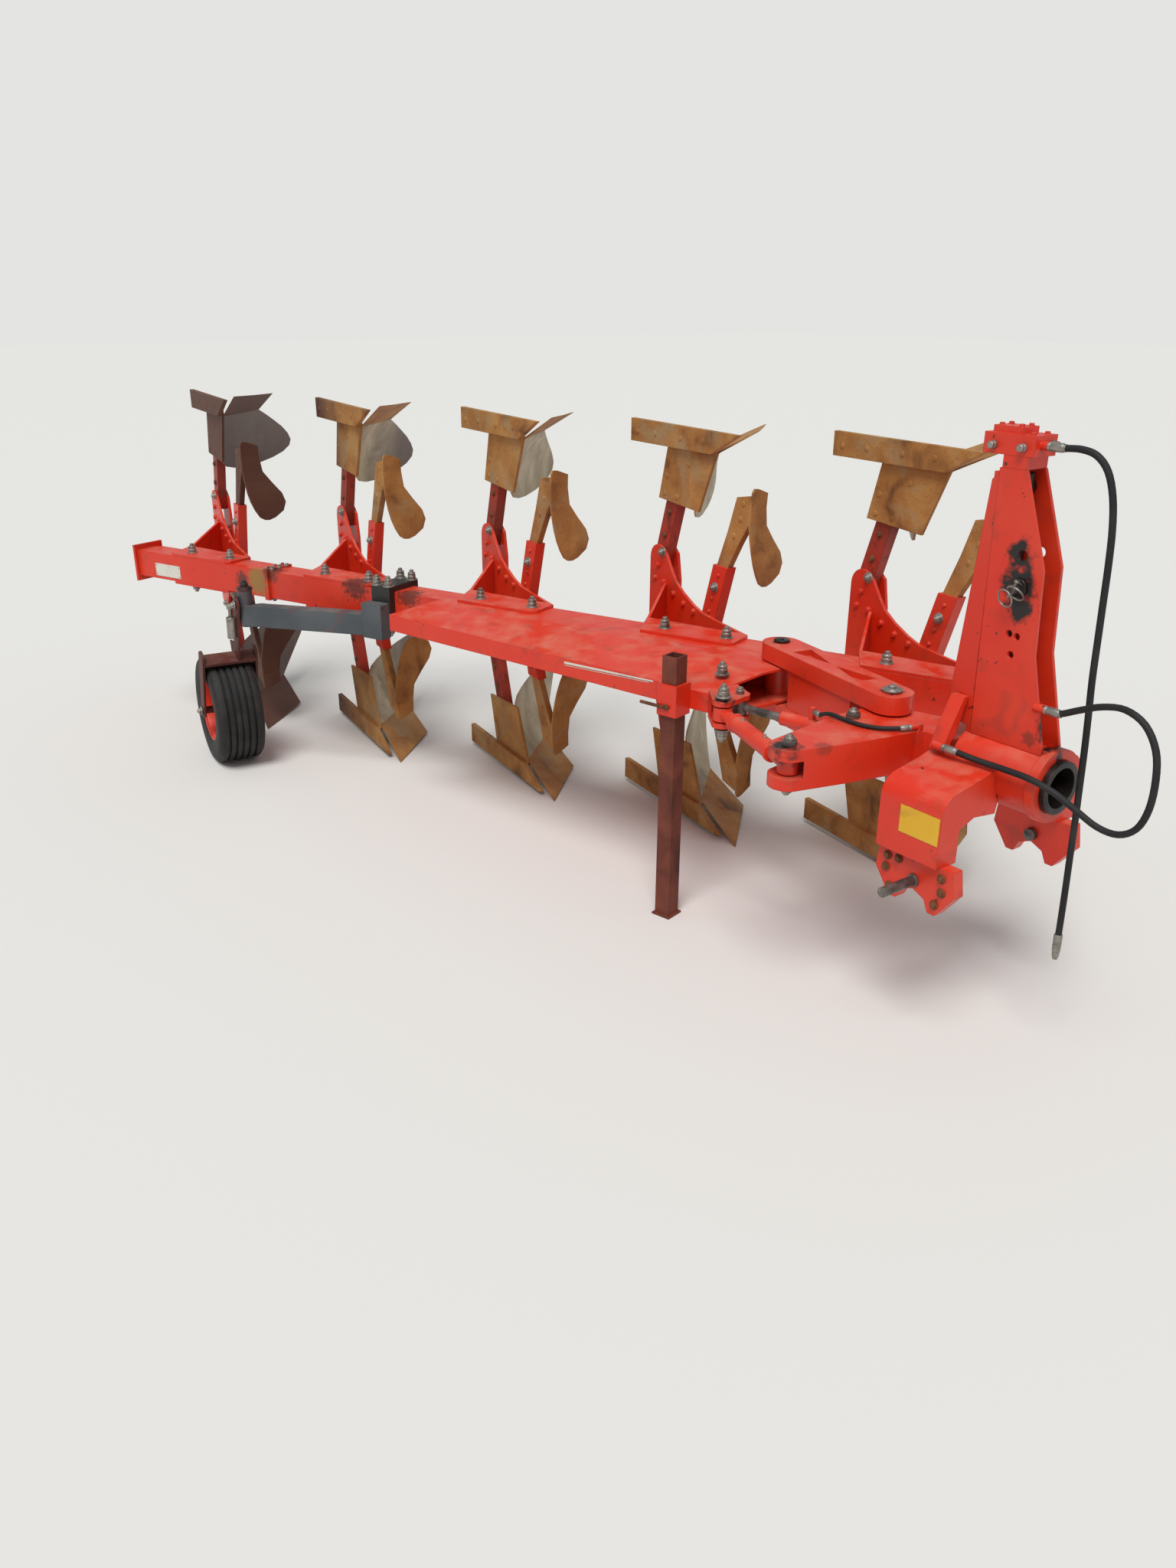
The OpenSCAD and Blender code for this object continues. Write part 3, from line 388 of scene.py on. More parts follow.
set_copies("arm_hose_sleeve", SMALL_SLEEVE, [(place(*OFFSET_ROUTE[-1]), (-0.35, -0.937, 0))],
           "turnover", "zinc")
port_way = Vector(OFFSET_ROUTE[1]) - Vector(OFFSET_ROUTE[0])
set_copies("port_hose_sleeve", SMALL_SLEEVE, [(place(*OFFSET_ROUTE[0]), port_way)], "turnover", "zinc")
coupler = set_copies("tractor_coupler", COUPLER, [(place(*TRACTOR_ROUTE[-1]), (0.015, 0, -1))],
                     "headstock", "zinc")

# %% [markdown]
# ## The hoses
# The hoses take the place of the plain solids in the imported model. The tractor's hose hangs free and ends in
# the coupler just made, the other two go back into the plough.

# %% Lay the three hoses
HOSE_DIAMETER = 0.022
OFFSET_HOSE_DIAMETER = 0.016
hoses = [
    hose("loop_hose_rubber", LOOP_ROUTE, HOSE_DIAMETER, "headstock", "loop_hose"),
    hose("tractor_hose_rubber", TRACTOR_ROUTE, HOSE_DIAMETER, "headstock", "tractor_hose"),
    hose("offset_hose_rubber", OFFSET_ROUTE, OFFSET_HOSE_DIAMETER, "turnover", "offset_hose"),
]

# %% [markdown]
# ## Flanges, clamp and wheel hardware
# The tail is bolted on through two flanges, the wheel's clamp is held by four long bolts, and a dark plate
# with a nut closes the swing column. The buffer that cushions the wheel is a small cylinder with a thinner
# rod, so it is a stack too. The patterns made before are used again wherever the real plough repeats a bolt.

# %% Tail flanges, clamp bolts and the column's top
TAIL_JOINT = -3.5 * STEP
CLAMP_AT = -2790
COLUMN_CAP = stacked("column_cap", [(32, 42, -1, 9, 2), (28, 34, 9, 16, 2), (6, 22, 16, 36, 2),
                                    (14, 11, 34, 48, 2)])
BUFFER = stacked("buffer", [(28, 24, 0, 118, 4), (24, 11, 110, 170, 2), (24, 18, 165, 190, 4)])
flange_spots = [on_beam(TAIL_JOINT + side * 16, v, z, (side, 0, 0))
                for v in (-55, 0, 55) for side in (1, -1) for z in (80, -80)]
set_copies("flange_bolts", BOLT, flange_spots, "beam", "zinc")
clamp_spots = [on_beam(CLAMP_AT + du, v, side * 105, (0, 0, side))
               for du in (-38, 38) for v in (-98, 88) for side in (1, -1)]
set_copies("clamp_nuts", BASE_NUT, clamp_spots, "beam", "zinc")
set_copies("column_cap", COLUMN_CAP, [on_column(0, 0, 40)], "beam", "dark")
set_copies("swing_nuts", BIG_BOLT, [on_column(0, -62, -40, RIGHT)], "wheel_carrier", "zinc")
set_copies("wheel_buffer", BUFFER, [on_column(-40, -82, -225, (0.12, 0, 1))], "wheel_carrier", "zinc")

# %% [markdown]
# ## The stand's pin
# A rusty pin through the holder keeps the parking stand at its height, and a short bar lets the hand turn
# it. Both lie square to the slanting lip of the stiffening box, so their places are worked out along that
# lip and not along the model's axes.

# %% Pin and handle of the parking stand
LIP_FRONT = Vector((-620, -375, 0))
LIP_ANGLE = math.radians(14.11)
PIN_HEIGHT = Vector((0, 0, -22))
PIN_ROD = stacked("stand_pin", [(16, 8, -150, 4, 1), (16, 12, -6, 6, 2)])
HANDLE = stacked("handle", [(12, 7, -70, 70, 2)])
along_lip = Vector((math.cos(LIP_ANGLE), math.sin(LIP_ANGLE), 0))
off_lip = Vector((along_lip.y, -along_lip.x, 0))
holder_middle = LIP_FRONT - along_lip * 135 + off_lip * 47.4
pin_spot = holder_middle + off_lip * 48 + PIN_HEIGHT
handle_spot = holder_middle + off_lip * 54 + PIN_HEIGHT - along_lip * 55
set_copies("stand_pin", PIN_ROD, [(place(*pin_spot), off_lip)], "beam", "brown")
set_copies("stand_handle", HANDLE, [(place(*handle_spot), along_lip)], "beam", "brown")

# %% [markdown]
# ## Tyre and rim
# A ribbed implement tyre and its pressed rim are bodies of revolution. They could be cut from cylinders, but
# here a section is drawn as a closed loop of points and spun round the axle, so that ribs, shoulders and the
# rim's dish come from one short table each. The tyre's table is one half of its section, and the other half
# is its mirror.

# %% Spin two sections round the axle
HUB = Vector((-224, -100, -665))
SPIN_STEPS = 64
WELD_DISTANCE = 0.00005
SMOOTH_WHEEL_UNDER = math.radians(30)


def spun(name, section, replaced, finish):
    """Spins a closed section of (radius, width) points in millimetres round the wheel's axle."""
    mesh = bpy.data.meshes.new(name)
    corners = [(radius / 1000, across / 1000, 0) for radius, across in section]
    mesh.from_pydata(corners, [(k, (k + 1) % len(corners)) for k in range(len(corners))], [])
    obj = bring_in(name, mesh)
    select_only(obj)
    bpy.ops.object.mode_set(mode="EDIT")
    bpy.ops.mesh.select_all(action="SELECT")
    bpy.ops.mesh.spin(steps=SPIN_STEPS, angle=2 * math.pi, center=(0, 0, 0), axis=(0, 1, 0))
    bpy.ops.mesh.select_all(action="SELECT")
    bpy.ops.mesh.remove_doubles(threshold=WELD_DISTANCE)
    bpy.ops.mesh.normals_make_consistent(inside=False)
    bpy.ops.object.mode_set(mode="OBJECT")
    spot, _ = on_column(*HUB)
    mesh.transform(Matrix.Translation(spot) @ BODY_TURN.to_4x4())
    bpy.ops.object.shade_smooth_by_angle(angle=SMOOTH_WHEEL_UNDER)
    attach(obj, "wheel")
    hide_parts(replaced)
    dressed.append((obj, finish))
    print(name, len(mesh.polygons), "faces")


SHOULDER = [(166, -112), (178, -120), (205, -125), (235, -127), (262, -127), (280, -123), (291, -114),
            (297, -105)]
HALF_TREAD = [(300, -96), (300, -78), (287, -75), (287, -67), (300, -64), (300, -42), (287, -39),
              (287, -31), (300, -28), (300, -6), (289, -4)]
RIM_WELL = [(165, -112), (165, 112)]
RIM_FRONT = [(172, 117), (170, 110), (158, 104), (152, 60), (152, 12), (75, 24), (60, 60), (24, 60)]
RIM_BACK = [(24, -60), (60, -60), (75, 10), (152, -2), (152, -60), (158, -104), (170, -110), (172, -117)]
left_half = SHOULDER + HALF_TREAD
right_half = [(radius, -across) for radius, across in reversed(left_half)]
spun("wheel_tyre_ribbed", left_half + right_half, "wheel_tyre", "tyre")
spun("wheel_rim_dished", RIM_WELL + RIM_FRONT + RIM_BACK, "wheel_rim", "red")

# %% Wheel nuts and axle nuts
BOLT_CIRCLE = 108
wheel_nuts = []
for k in range(5):
    turn = math.radians(72 * k + 20)
    on_circle = Vector((BOLT_CIRCLE * math.cos(turn), -18, BOLT_CIRCLE * math.sin(turn)))
    wheel_nuts.append(on_column(*(HUB + on_circle), RIGHT))
set_copies("wheel_nuts", BOLT, wheel_nuts, "wheel", "zinc")
AXLE_END = Vector((0, 155, 0))
set_copies("axle_nuts", BIG_BOLT, [on_column(*(HUB - AXLE_END), RIGHT), on_column(*(HUB + AXLE_END), LEFT)],
           "wheel_carrier", "zinc")

# %% [markdown]
# ## Stripe and blank plates
# A white stripe runs along the near lip of the stiffening box, and two small plates are riveted on. They
# stay blank. A stripe could be painted on with a mask in the material, but a real one is a strip of foil and
# a plate is thin metal, and a thin solid of its own stays sharp from close by. Each is a flat outline that
# gets a thickness and soft edges from two modifiers.


# %% Thin plates with softened edges
def thin_plate(name, corners, thickness_mm, body, finish):
    """A flat plate through its corner points, with its thickness and softened edges."""
    mesh = bpy.data.meshes.new(name)
    mesh.from_pydata([tuple(c) for c in corners], [], [tuple(range(len(corners)))])
    obj = bring_in(name, mesh)
    select_only(obj)
    for kind, settings in (("SOLIDIFY", {"thickness": thickness_mm / 1000, "offset": 1}),
                           ("BEVEL", {"width": 0.0003, "segments": 1})):
        modifier = obj.modifiers.new(kind.lower(), kind)
        for key, value in settings.items():
            setattr(modifier, key, value)
        bpy.ops.object.modifier_apply(modifier=modifier.name)
    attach(obj, body)
    dressed.append((obj, finish))
    print(name, len(mesh.polygons), "faces")


LIP_RUN = 1810
LIP_SLANT = 455
FOIL = 0.8
SHEET = 1.2
PROUD = 0.2


def on_lip(x, z):
    """A point of the stiffening box's near lip, just proud of it."""
    return place(x, LIP_FRONT.y + (x - LIP_FRONT.x) * LIP_SLANT / LIP_RUN - PROUD, z)


thin_plate("lip_stripe", [on_lip(-1355, 14), on_lip(-885, 31), on_lip(-885, 38), on_lip(-1355, 25)],
           FOIL, "beam", "blank")
thin_plate("lip_stripe_fine", [on_lip(-1355, 7), on_lip(-905, 24), on_lip(-905, 27), on_lip(-1355, 10)],
           FOIL, "beam", "blank")
TAIL_PLATE = [(-4560, -58), (-4350, -58), (-4350, 16), (-4560, 16)]
ARM_PLATE = [(375, -178), (540, -178), (540, -78), (375, -78)]
thin_plate("tail_plate_blank", [on_beam(u, -80.1, z)[0] for u, z in TAIL_PLATE], SHEET, "beam", "blank")
thin_plate("arm_plate_blank", [place(x, -380.1, z) for x, z in ARM_PLATE], SHEET, "headstock", "yellow")
RIVET = stacked("rivet", [(12, 4, -1, 1.2, 0.6)])
rivet_spots = [on_beam(u, -81.3, z, RIGHT) for u in (-4550, -4360) for z in (-48, 6)]
set_copies("tail_plate_rivets", RIVET, rivet_spots, "beam", "zinc")

# %% [markdown]
# ## Helpers for finishes
# Colours are written as sRGB hex values, as a paint card gives them, and one function turns them to the
# linear values that the shader works in. Another adds a node with its settings and links, so that a finish
# reads from top to bottom like a recipe. A material could be built by hand in the node editor, but written
# down it gives the same look each time.


# %% Colours and nodes
def colour(code):
    """sRGB hex to linear RGBA."""
    parts = [int(code[k:k + 2], 16) / 255 for k in (1, 3, 5)]
    linear = [c / 12.92 if c <= 0.04045 else ((c + 0.055) / 1.055) ** 2.4 for c in parts]
    return (*linear, 1.0)


def add_node(tree, kind, settings=None, links=None):
    """Adds a node. Settings name its inputs, its properties or a ramp's stops, and links name an input and
    the socket it takes. A hex code stands for its colour."""
    node = tree.nodes.new(kind)
    for name, value in (settings or {}).items():
        if isinstance(value, str) and value.startswith("#"):
            value = colour(value)
        if name == "stops":
            elements = node.color_ramp.elements
            while len(elements) < len(value):
                elements.new(0.5)
            for element, (position, code) in zip(elements, value):
                element.position = position
                element.color = colour(code)
        elif isinstance(name, int) or name in node.inputs:
            node.inputs[name].default_value = value
        else:
            setattr(node, name, value)
    for name, socket in (links or {}).items():
        tree.links.new(socket, node.inputs[name])
    return node


def start_material(name, metallic, roughness):
    """A material with its tree, its shader and the object's coordinates."""
    material = bpy.data.materials.new(name)
    material.use_nodes = True
    tree = material.node_tree
    shader = tree.nodes["Principled BSDF"]
    shader.inputs["Metallic"].default_value = metallic
    shader.inputs["Roughness"].default_value = roughness
    return material, tree, shader, add_node(tree, "ShaderNodeTexCoord").outputs["Object"]


# %% [markdown]
# ## Patches, worn edges and smears
# Weather works in ragged patches, so one pattern serves them all: noise whose blotches have a real size in
# millimetres, cut to what lies between two levels. Paint goes first from the edges. The Bevel node gives the
# normal that a slightly rounded edge would have, and where that differs from the real one there is an edge.
# Broken up by patches, this is the mask for chips. Grease and stains sit at places, so their mask is the
# distance to a spot, made ragged. All this could be painted by hand as pictures, but patterns need no
# picture files and hold at any distance.

# %% Three masks that the finishes share
EDGE_WIDTH_MM = 5
EDGE_BREAK_MM = 22


def patches(tree, where, size_mm, detail, distortion, low, high, most=1.0):
    """Ragged patches about size_mm across: 0 between them, most inside."""
    grain = add_node(tree, "ShaderNodeTexNoise",
                     {"Scale": 1000 / size_mm, "Detail": detail, "Distortion": distortion},
                     {"Vector": where})
    cut = add_node(tree, "ShaderNodeMapRange", {"From Min": low, "From Max": high, "To Max": most},
                   {"Value": grain.outputs["Fac"]})
    return cut.outputs["Result"]


def edge_mask(tree, where, low, high):
    """1 on the bare parts of the edges, with the softened normal that the mask was found from."""
    rounded = add_node(tree, "ShaderNodeBevel", {"samples": 4, "Radius": EDGE_WIDTH_MM / 1000})
    soft = rounded.outputs["Normal"]
    plain = add_node(tree, "ShaderNodeNewGeometry").outputs["Normal"]
    along = add_node(tree, "ShaderNodeVectorMath", {"operation": "DOT_PRODUCT"}, {0: soft, 1: plain})
    edge = add_node(tree, "ShaderNodeMapRange", {"From Min": 1.0, "From Max": 0.9},
                    {"Value": along.outputs["Value"]})
    broken = patches(tree, where, EDGE_BREAK_MM, 6, 0.3, low, high)
    mask = add_node(tree, "ShaderNodeMath", {"operation": "MULTIPLY"},
                    {0: edge.outputs["Result"], 1: broken})
    return mask.outputs[0], soft


def smear(tree, where, spot, reach_mm, grain_mm, most=1.0):
    """Most near a spot, 0 beyond its reach, with a ragged border."""
    reach = reach_mm / 1000
    away = add_node(tree, "ShaderNodeVectorMath", {"operation": "DISTANCE", 1: spot}, {0: where})
    rough = patches(tree, where, grain_mm, 5, 0.0, 0.3, 0.7)
    ragged = add_node(tree, "ShaderNodeMath", {"operation": "MULTIPLY_ADD", 1: -0.5 * reach},
                      {0: rough, 2: away.outputs["Value"]})
    mask = add_node(tree, "ShaderNodeMapRange",
                    {"From Min": 0.55 * reach, "From Max": 0.2 * reach, "To Max": most},
                    {"Value": ragged.outputs[0]})
    return mask.outputs["Result"]


# %% [markdown]
# ## Paints
# The plough wears a bright orange-red enamel, sprayed over steel. It has faded in broad patches, rain has
# drawn rusty streaks, soil dust lies on what faces up, the edges are chipped to rust, and grease has spread
# round the pins. One plain colour with a gloss would look like a toy, so each of these is a layer of its own
# over the paint, and the other paints are the same recipe with other colours.

# %% Enamel with fading, streaks, dust, chips, stains and grease
FADE_MM = 330
STREAK_MM = 120
DUST_MM = 90
CHIP_MM = 26
GREASE_MM = 30
STAIN_MM = 18
STREAK_RUST = "#7a3324"
GREASE_BLACK = "#17100e"
DUSTY_ROUGHNESS = 0.8


def enamel(name, fresh, faded, chip, dust, dust_most=0.4, edge_low=0.35, roughness=0.38, grease=(),
           stains=(), grime=0.0):
    """Enamel. Grime raises the share of streaks, and gives them the chips' colour."""
    material, tree, shader, where = start_material(name, 0.0, roughness)
    fade = patches(tree, where, FADE_MM, 5, 0.0, 0.38, 0.68)
    paint = add_node(tree, "ShaderNodeMix", {"data_type": "RGBA", 6: fresh, 7: faded}, {0: fade}).outputs[2]
    streaks = patches(tree, where, STREAK_MM, 7, 0.8, 0.56, 0.72, 0.35 + grime)
    paint = add_node(tree, "ShaderNodeMix", {"data_type": "RGBA", 7: chip if grime else STREAK_RUST},
                     {0: streaks, 6: paint}).outputs[2]
    normal = add_node(tree, "ShaderNodeNewGeometry").outputs["Normal"]
    up = add_node(tree, "ShaderNodeSeparateXYZ", links={0: normal}).outputs["Z"]
    lying = add_node(tree, "ShaderNodeMapRange", {"From Min": 0.3, "To Max": dust_most}, {"Value": up})
    spread = patches(tree, where, DUST_MM, 6, 0.4, 0.42, 0.75)
    dusty = add_node(tree, "ShaderNodeMath", {"operation": "MULTIPLY"},
                     {0: lying.outputs["Result"], 1: spread}).outputs[0]
    paint = add_node(tree, "ShaderNodeMix", {"data_type": "RGBA", 7: dust}, {0: dusty, 6: paint}).outputs[2]
    edge, soft = edge_mask(tree, where, edge_low + 0.2, edge_low + 0.4)
    spots = patches(tree, where, CHIP_MM, 8, 0.2, 0.70, 0.73)
    bare = add_node(tree, "ShaderNodeMath", {"operation": "MAXIMUM"}, {0: edge, 1: spots}).outputs[0]
    paint = add_node(tree, "ShaderNodeMix", {"data_type": "RGBA", 7: chip}, {0: bare, 6: paint}).outputs[2]
    marks = [(smear(tree, where, spot, reach, STAIN_MM, 0.85), code) for spot, reach, code in stains]
    marks += [(smear(tree, where, spot, reach, GREASE_MM), GREASE_BLACK) for spot, reach in grease]
    for mask, code in marks:
        paint = add_node(tree, "ShaderNodeMix", {"data_type": "RGBA", 7: code},
                         {0: mask, 6: paint}).outputs[2]
    tree.links.new(paint, shader.inputs["Base Color"])
    rough = add_node(tree, "ShaderNodeMapRange", {"To Min": roughness, "To Max": DUSTY_ROUGHNESS},
                     {"Value": dusty})
    tree.links.new(rough.outputs["Result"], shader.inputs["Roughness"])
    chipped = add_node(tree, "ShaderNodeBump", {"Strength": 0.5, "Distance": 0.0004, "invert": True},
                       {"Height": bare, "Normal": soft})
    tree.links.new(chipped.outputs["Normal"], shader.inputs["Normal"])
    print(name, len(tree.nodes), "nodes")
    return material


GREASED = [(place(480, -60, 632), 95), (place(470, -60, 735), 70), (place(500, -60, 560), 70),
           (place(0, -30, 152), 62), (place(-720, 110, 152), 55), (place(40, -600, 60), 80),
           (place(-500, -405, 60), 60), (place(655, -48, 200), 60), (place(660, 0, 120), 60)]
STAINED = [(on_beam(-3712, -80, 10)[0], 120, "#8c7434"), (on_beam(-3610, -60, 76)[0], 90, "#5d2c1c"),
           (on_beam(-3000, -50, 76)[0], 130, "#4a1d14"), (on_beam(-2640, -70, 76)[0], 110, "#5a2418"),
           (on_beam(-3840, -80, 0)[0], 70, "#4c2418"), (place(600, -54, 150), 40, "#8a2a18"),
           (place(120, -500, 74), 50, "#9a2f1c"), (place(-350, -150, 152), 70, "#6d2c1e")]

# %% The paints of the plough
# Sprayed enamel, still glossy: broad soft highlights on a strong colour.
red_paint = enamel("red_enamel", "#d32a0e", "#d53a20", "#4b1d14", "#c8917a", grease=GREASED, stains=STAINED)
# Enamel that has weathered for years: dull, brown in the red, with most of its edges gone.
old_red_paint = enamel("old_red_enamel", "#4d180f", "#5f261b", "#241510", "#75604f", 0.6, 0.2, 0.6)
# Brushed black enamel: it shows mostly by its dust.
black_paint = enamel("black_enamel", "#1b1a1a", "#242221", "#39291f", "#6e6459", 0.4, 0.35, 0.4)
# A blue-grey machine paint: flatter than the red, so the wheel's arm looks quieter.
grey_paint = enamel("grey_blue_paint", "#3f454a", "#565a5c", "#3a2c24", "#8a8378", 0.45, 0.3, 0.5)
# Printed foil and plate, both left blank: even and pale, dirty at the rims.
white_paint = enamel("white_plate_paint", "#cfcabd", "#dbd7cc", "#8d7f70", "#b7ab98", 0.3, 0.35, 0.45)
yellow_paint = enamel("yellow_plate_paint", "#d9a514", "#e0b02c", "#7c4a25", "#b39b6c", 0.3, 0.3, 0.4)
# Enamel scoured by soil on the legs: rubbed through to a dark brown over half of its face.
leg_paint = enamel("scoured_leg_paint", "#b0301d", "#7d3120", "#33170f", "#6e5a48", 0.5, 0.15, 0.55,
                   grime=0.45)

# %% [markdown]
# ## Soil-worn and rusted steel
# Landsides, shares and skimmers have lost their paint to the soil. They have rusted ochre since, with darker
# clouds, paler scoured streaks and pits. The far bodies are coloured darker and more purple than the near
# ones. A scan of real rust would need pictures, so clouds of three browns are mixed from noise, and the
# darker, more purple tone grows along the plough's own length, towards the rear.

# %% Steel in clouds of three colours, pitted
SCOUR_MM = 260
# Where the far bodies start to be coloured darker and more purple, and where that is full, in metres along X.
REAR_DARKER_STARTS = -1.3
REAR_DARKER_FULL = -1.75
# Real pits are a millimetre or two across. They are drawn coarser, so that they show from a few metres.
PIT_MM = 9


def rusted(name, dark, mid, light, metallic=0.15, roughness=0.7, cloud_mm=150, pale=None, rear_darker=None):
    """Steel whose clouds run from dark to light; pale is scoured over it, and the darker, more purple tone
    lies over the far bodies.
    """
    material, tree, shader, where = start_material(name, metallic, roughness)
    clouds = add_node(tree, "ShaderNodeTexNoise", {"Scale": 1000 / cloud_mm, "Detail": 7, "Distortion": 0.5},
                      {"Vector": where}).outputs["Fac"]
    rust = add_node(tree, "ShaderNodeValToRGB", {"stops": [(0.27, dark), (0.42, mid), (0.68, light)]},
                    {"Fac": clouds}).outputs["Color"]
    layers = []
    if pale:
        layers.append((patches(tree, where, SCOUR_MM, 5, 1.2, 0.52, 0.68, 0.8), pale))
    # Towards the rear, the far bodies are coloured darker and more purple.
    if rear_darker:
        rear = add_node(tree, "ShaderNodeSeparateXYZ", links={0: where}).outputs["X"]
        further = add_node(tree, "ShaderNodeMapRange",
                           {"From Min": REAR_DARKER_STARTS, "From Max": REAR_DARKER_FULL, "To Max": 0.92},
                           {"Value": rear})
        layers.append((further.outputs["Result"], rear_darker))
    pits = patches(tree, where, PIT_MM, 6, 0.0, 0.52, 0.75)
    pitted = add_node(tree, "ShaderNodeMath", {"operation": "MULTIPLY", 1: 0.45}, {0: pits}).outputs[0]
    layers.append((pitted, dark))
    edge, soft = edge_mask(tree, where, 0.3, 0.6)
    rubbed = add_node(tree, "ShaderNodeMath", {"operation": "MULTIPLY", 1: 0.6}, {0: edge}).outputs[0]
    layers.append((rubbed, light))
    for mask, code in layers:
        rust = add_node(tree, "ShaderNodeMix", {"data_type": "RGBA", 7: code}, {0: mask, 6: rust}).outputs[2]
    tree.links.new(rust, shader.inputs["Base Color"])
    raised = add_node(tree, "ShaderNodeBump", {"Strength": 0.4, "Distance": 0.0005},
                      {"Height": pits, "Normal": soft})
    tree.links.new(raised.outputs["Normal"], shader.inputs["Normal"])
    print(name, len(tree.nodes), "nodes")
    return material


# %% The steels of the plough
# Hardened steel scoured by soil, then rusted: matt ochre clouds with paler streaks, coloured darker and more
# purple on the far bodies.
worn_steel = rusted("soil_scoured_steel", "#67411f", "#a06b33", "#ba8849", pale="#a58a63", rear_darker="#50302a")
# A drawn tube rusted all over: dark red-brown, with no gloss left.
rusty_steel = rusted("rusted_tube", "#38180f", "#5f291a", "#773a28", 0.1, 0.75)
# Forged bolts gone brown: the same rust in smaller clouds.
rusty_bolt = rusted("rusted_bolt", "#341c12", "#62371f", "#80502f", 0.2, 0.75, 40)
# Bare machined steel, gone dull: grey, with a soft metal sheen.
bare_steel = rusted("dull_bare_steel", "#2e2a27", "#5d5854", "#8b867f", 0.6, 0.45, 60)
# Zinc-plated fasteners: the brightest metal here, clouded by white rust.
zinc_steel = rusted("zinc_plated_steel", "#5a5149", "#8d8880", "#a9a59d", 0.7, 0.4, 45)
# Rolled plate polished by the furrow: pale brown, smoother than the rest, coloured darker and more purple on
# the far bodies.
mold_steel = rusted("moldboard_steel", "#6d5236", "#98825e", "#b8a684", 0.2, 0.5, 240, pale="#c3b598",
                    rear_darker="#4e3430")
# Steel under old grease: nearly black, with a wet gleam.
greased_steel = rusted("greased_steel", "#12100f", "#221d1b", "#3a332f", 0.5, 0.35, 60)

# %% [markdown]
# ## Rubber
# Tyre and hose covers are moulded black rubber. Pure black would swallow their form, so a dusty tone lies
# over it in patches, and a fine grain breaks up the shine.

# %% Moulded rubber, dusty
RUBBER_DUST_MM = 80
# The real grain is well under a millimetre. It is drawn coarser, so that it shows at all.
RUBBER_GRAIN_MM = 4


def rubber(name, black, dust):
    """Matt rubber with dust in patches and a fine grain."""
    material, tree, shader, where = start_material(name, 0.0, 0.7)
    dusty = patches(tree, where, RUBBER_DUST_MM, 6, 0.0, 0.42, 0.75)
    cover = add_node(tree, "ShaderNodeMix", {"data_type": "RGBA", 6: black, 7: dust}, {0: dusty})
    tree.links.new(cover.outputs[2], shader.inputs["Base Color"])
    grain = add_node(tree, "ShaderNodeTexNoise", {"Scale": 1000 / RUBBER_GRAIN_MM, "Detail": 3},
                     {"Vector": where})
    raised = add_node(tree, "ShaderNodeBump", {"Strength": 0.3, "Distance": 0.0003},
                      {"Height": grain.outputs["Fac"]})
    tree.links.new(raised.outputs["Normal"], shader.inputs["Normal"])
    print(name, len(tree.nodes), "nodes")
    return material


tyre_rubber = rubber("tyre_rubber", "#131211", "#2c2823")
hose_rubber = rubber("hose_rubber", "#0e0e0f", "#232120")

# %% [markdown]
# ## Which part gets which finish
# Each solid takes the finish of its slot in the record. Some solids share a slot but have weathered
# differently, so a short table names those. The new pieces have a table of their own.

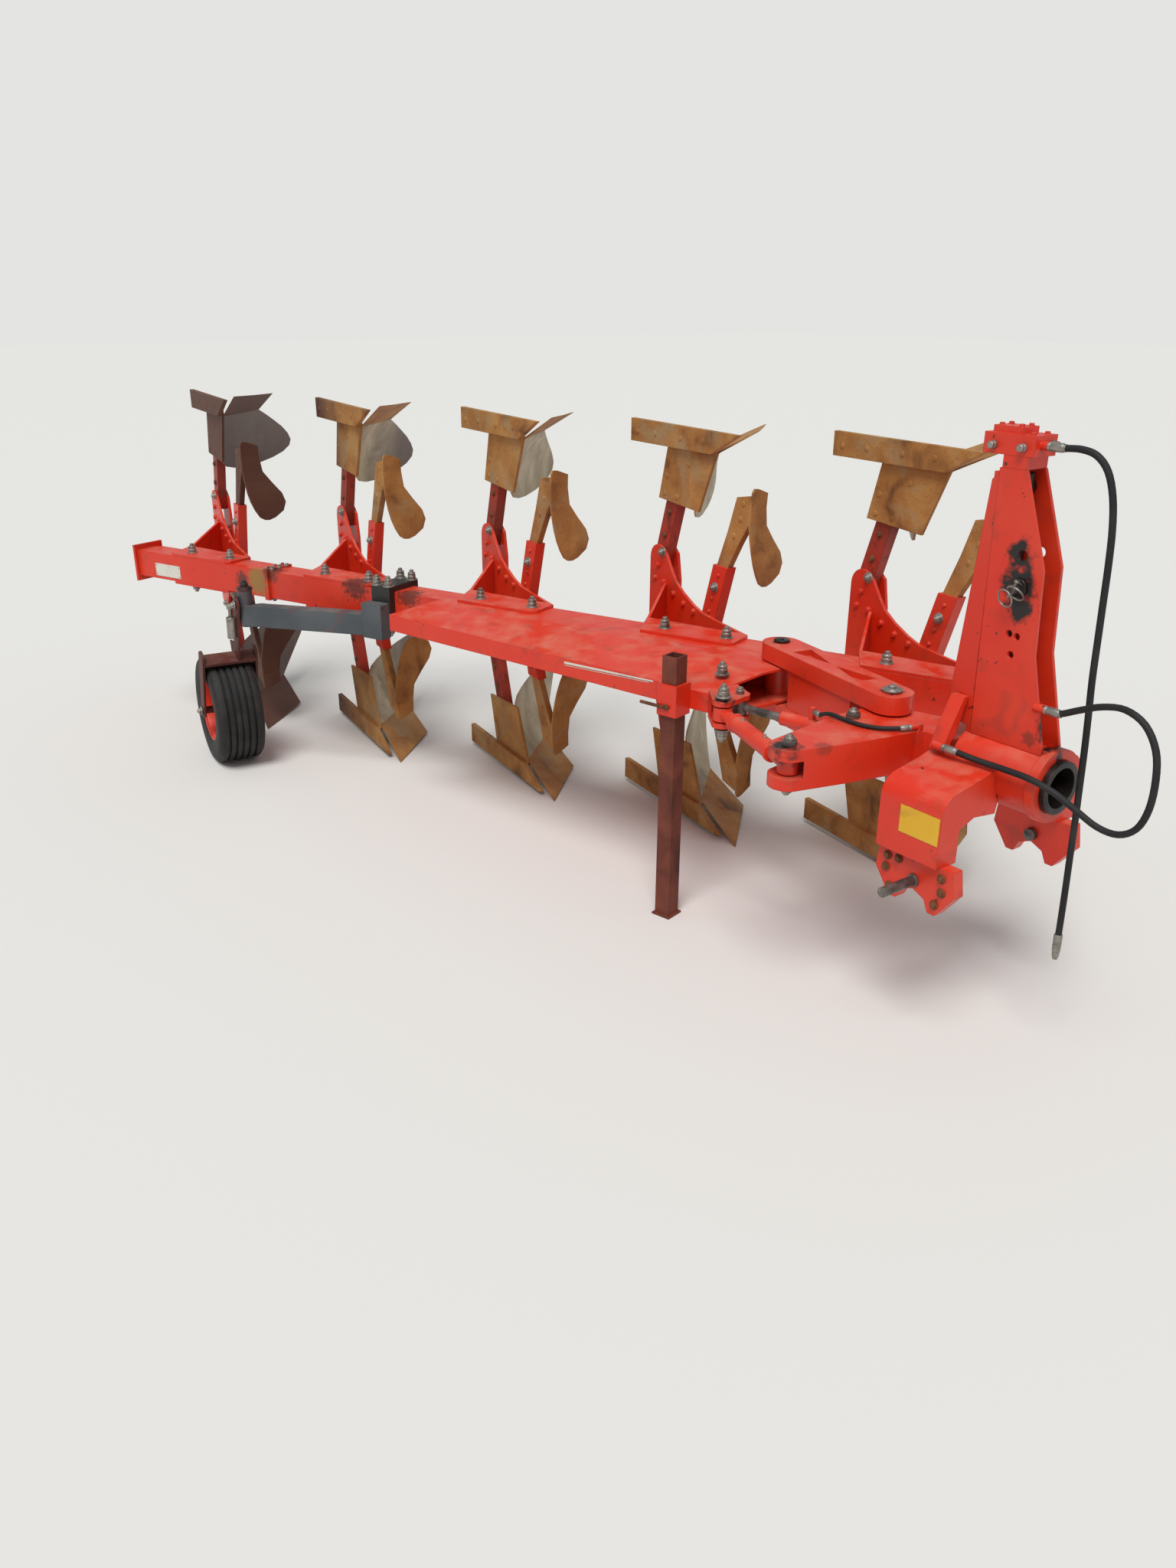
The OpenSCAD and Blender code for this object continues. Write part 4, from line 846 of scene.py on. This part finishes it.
# %% Give each node and each piece its finish
SLOT_FINISHES = {"red_paint": red_paint, "worn_steel": worn_steel, "bare_steel": bare_steel,
                 "black_paint": black_paint, "grey_paint": grey_paint, "old_red_paint": old_red_paint,
                 "rusty_steel": rusty_steel, "tyre": tyre_rubber, "hose": hose_rubber}
WEATHERED = {"upper_legs": leg_paint, "lower_legs": leg_paint, "upper_moldboards": mold_steel,
             "lower_moldboards": mold_steel, "turnover_shaft": greased_steel, "wheel_clamp": black_paint,
             "turnover_cylinder": greased_steel}
PIECE_FINISHES = {"zinc": zinc_steel, "brown": rusty_bolt, "grease": greased_steel, "red": red_paint,
                  "rust": worn_steel, "dark": black_paint, "blank": white_paint, "yellow": yellow_paint,
                  "tyre": tyre_rubber}
for row in frame["record"]["subparts"]:
    mesh = nodes[row["node"]].data
    mesh.materials.clear()
    mesh.materials.append(WEATHERED.get(row["node"], SLOT_FINISHES[row["material_slot"]]))
for obj, finish in dressed:
    obj.data.materials.clear()
    obj.data.materials.append(PIECE_FINISHES[finish])
for obj in hoses:
    obj.data.materials.append(hose_rubber)

# %% [markdown]
# ## Floor and light
# A plain pale floor takes the shadow. Lamps close by would light a plough of six metres unevenly, so one
# wide soft sun does it, and a pale sky fills the shadows. What the camera sees of the sky is nearly white.

# %% Floor, sun and sky
FLOOR_SIZE = 120
SUN_STRENGTH = 2.5
SUN_WIDTH = math.radians(28)
SUN_WAY = Vector((-0.35, 0.45, -1.0))
SKY_STRENGTH = 0.6
bpy.ops.mesh.primitive_plane_add(size=FLOOR_SIZE, location=(0, 0, 0))
floor = bpy.context.object
floor.name = "floor"
floor_material, _, floor_shader, _ = start_material("pale_floor", 0.0, 0.9)
floor_shader.inputs["Base Color"].default_value = colour("#d9d7d2")
floor.data.materials.append(floor_material)

sun_data = bpy.data.lights.new("soft_sun", "SUN")
sun_data.energy = SUN_STRENGTH
sun_data.angle = SUN_WIDTH
sun = bring_in("soft_sun", sun_data)
sun.rotation_euler = SUN_WAY.to_track_quat("-Z", "Y").to_euler()

world = bpy.data.worlds.new("pale_sky")
bpy.context.scene.world = world
world.use_nodes = True
sky_tree = world.node_tree
lit = sky_tree.nodes["Background"]
lit.inputs["Color"].default_value = colour("#e3e7ea")
lit.inputs["Strength"].default_value = SKY_STRENGTH
seen = add_node(sky_tree, "ShaderNodeBackground", {"Color": "#e4e4e2", "Strength": 1.0})
rays = add_node(sky_tree, "ShaderNodeLightPath")
mixed = add_node(sky_tree, "ShaderNodeMixShader", links={0: rays.outputs["Is Camera Ray"]})
sky_tree.links.new(lit.outputs[0], mixed.inputs[1])
sky_tree.links.new(seen.outputs[0], mixed.inputs[2])
sky_tree.links.new(mixed.outputs[0], sky_tree.nodes["World Output"].inputs["Surface"])
print("sun", SUN_STRENGTH, "sky", SKY_STRENGTH)
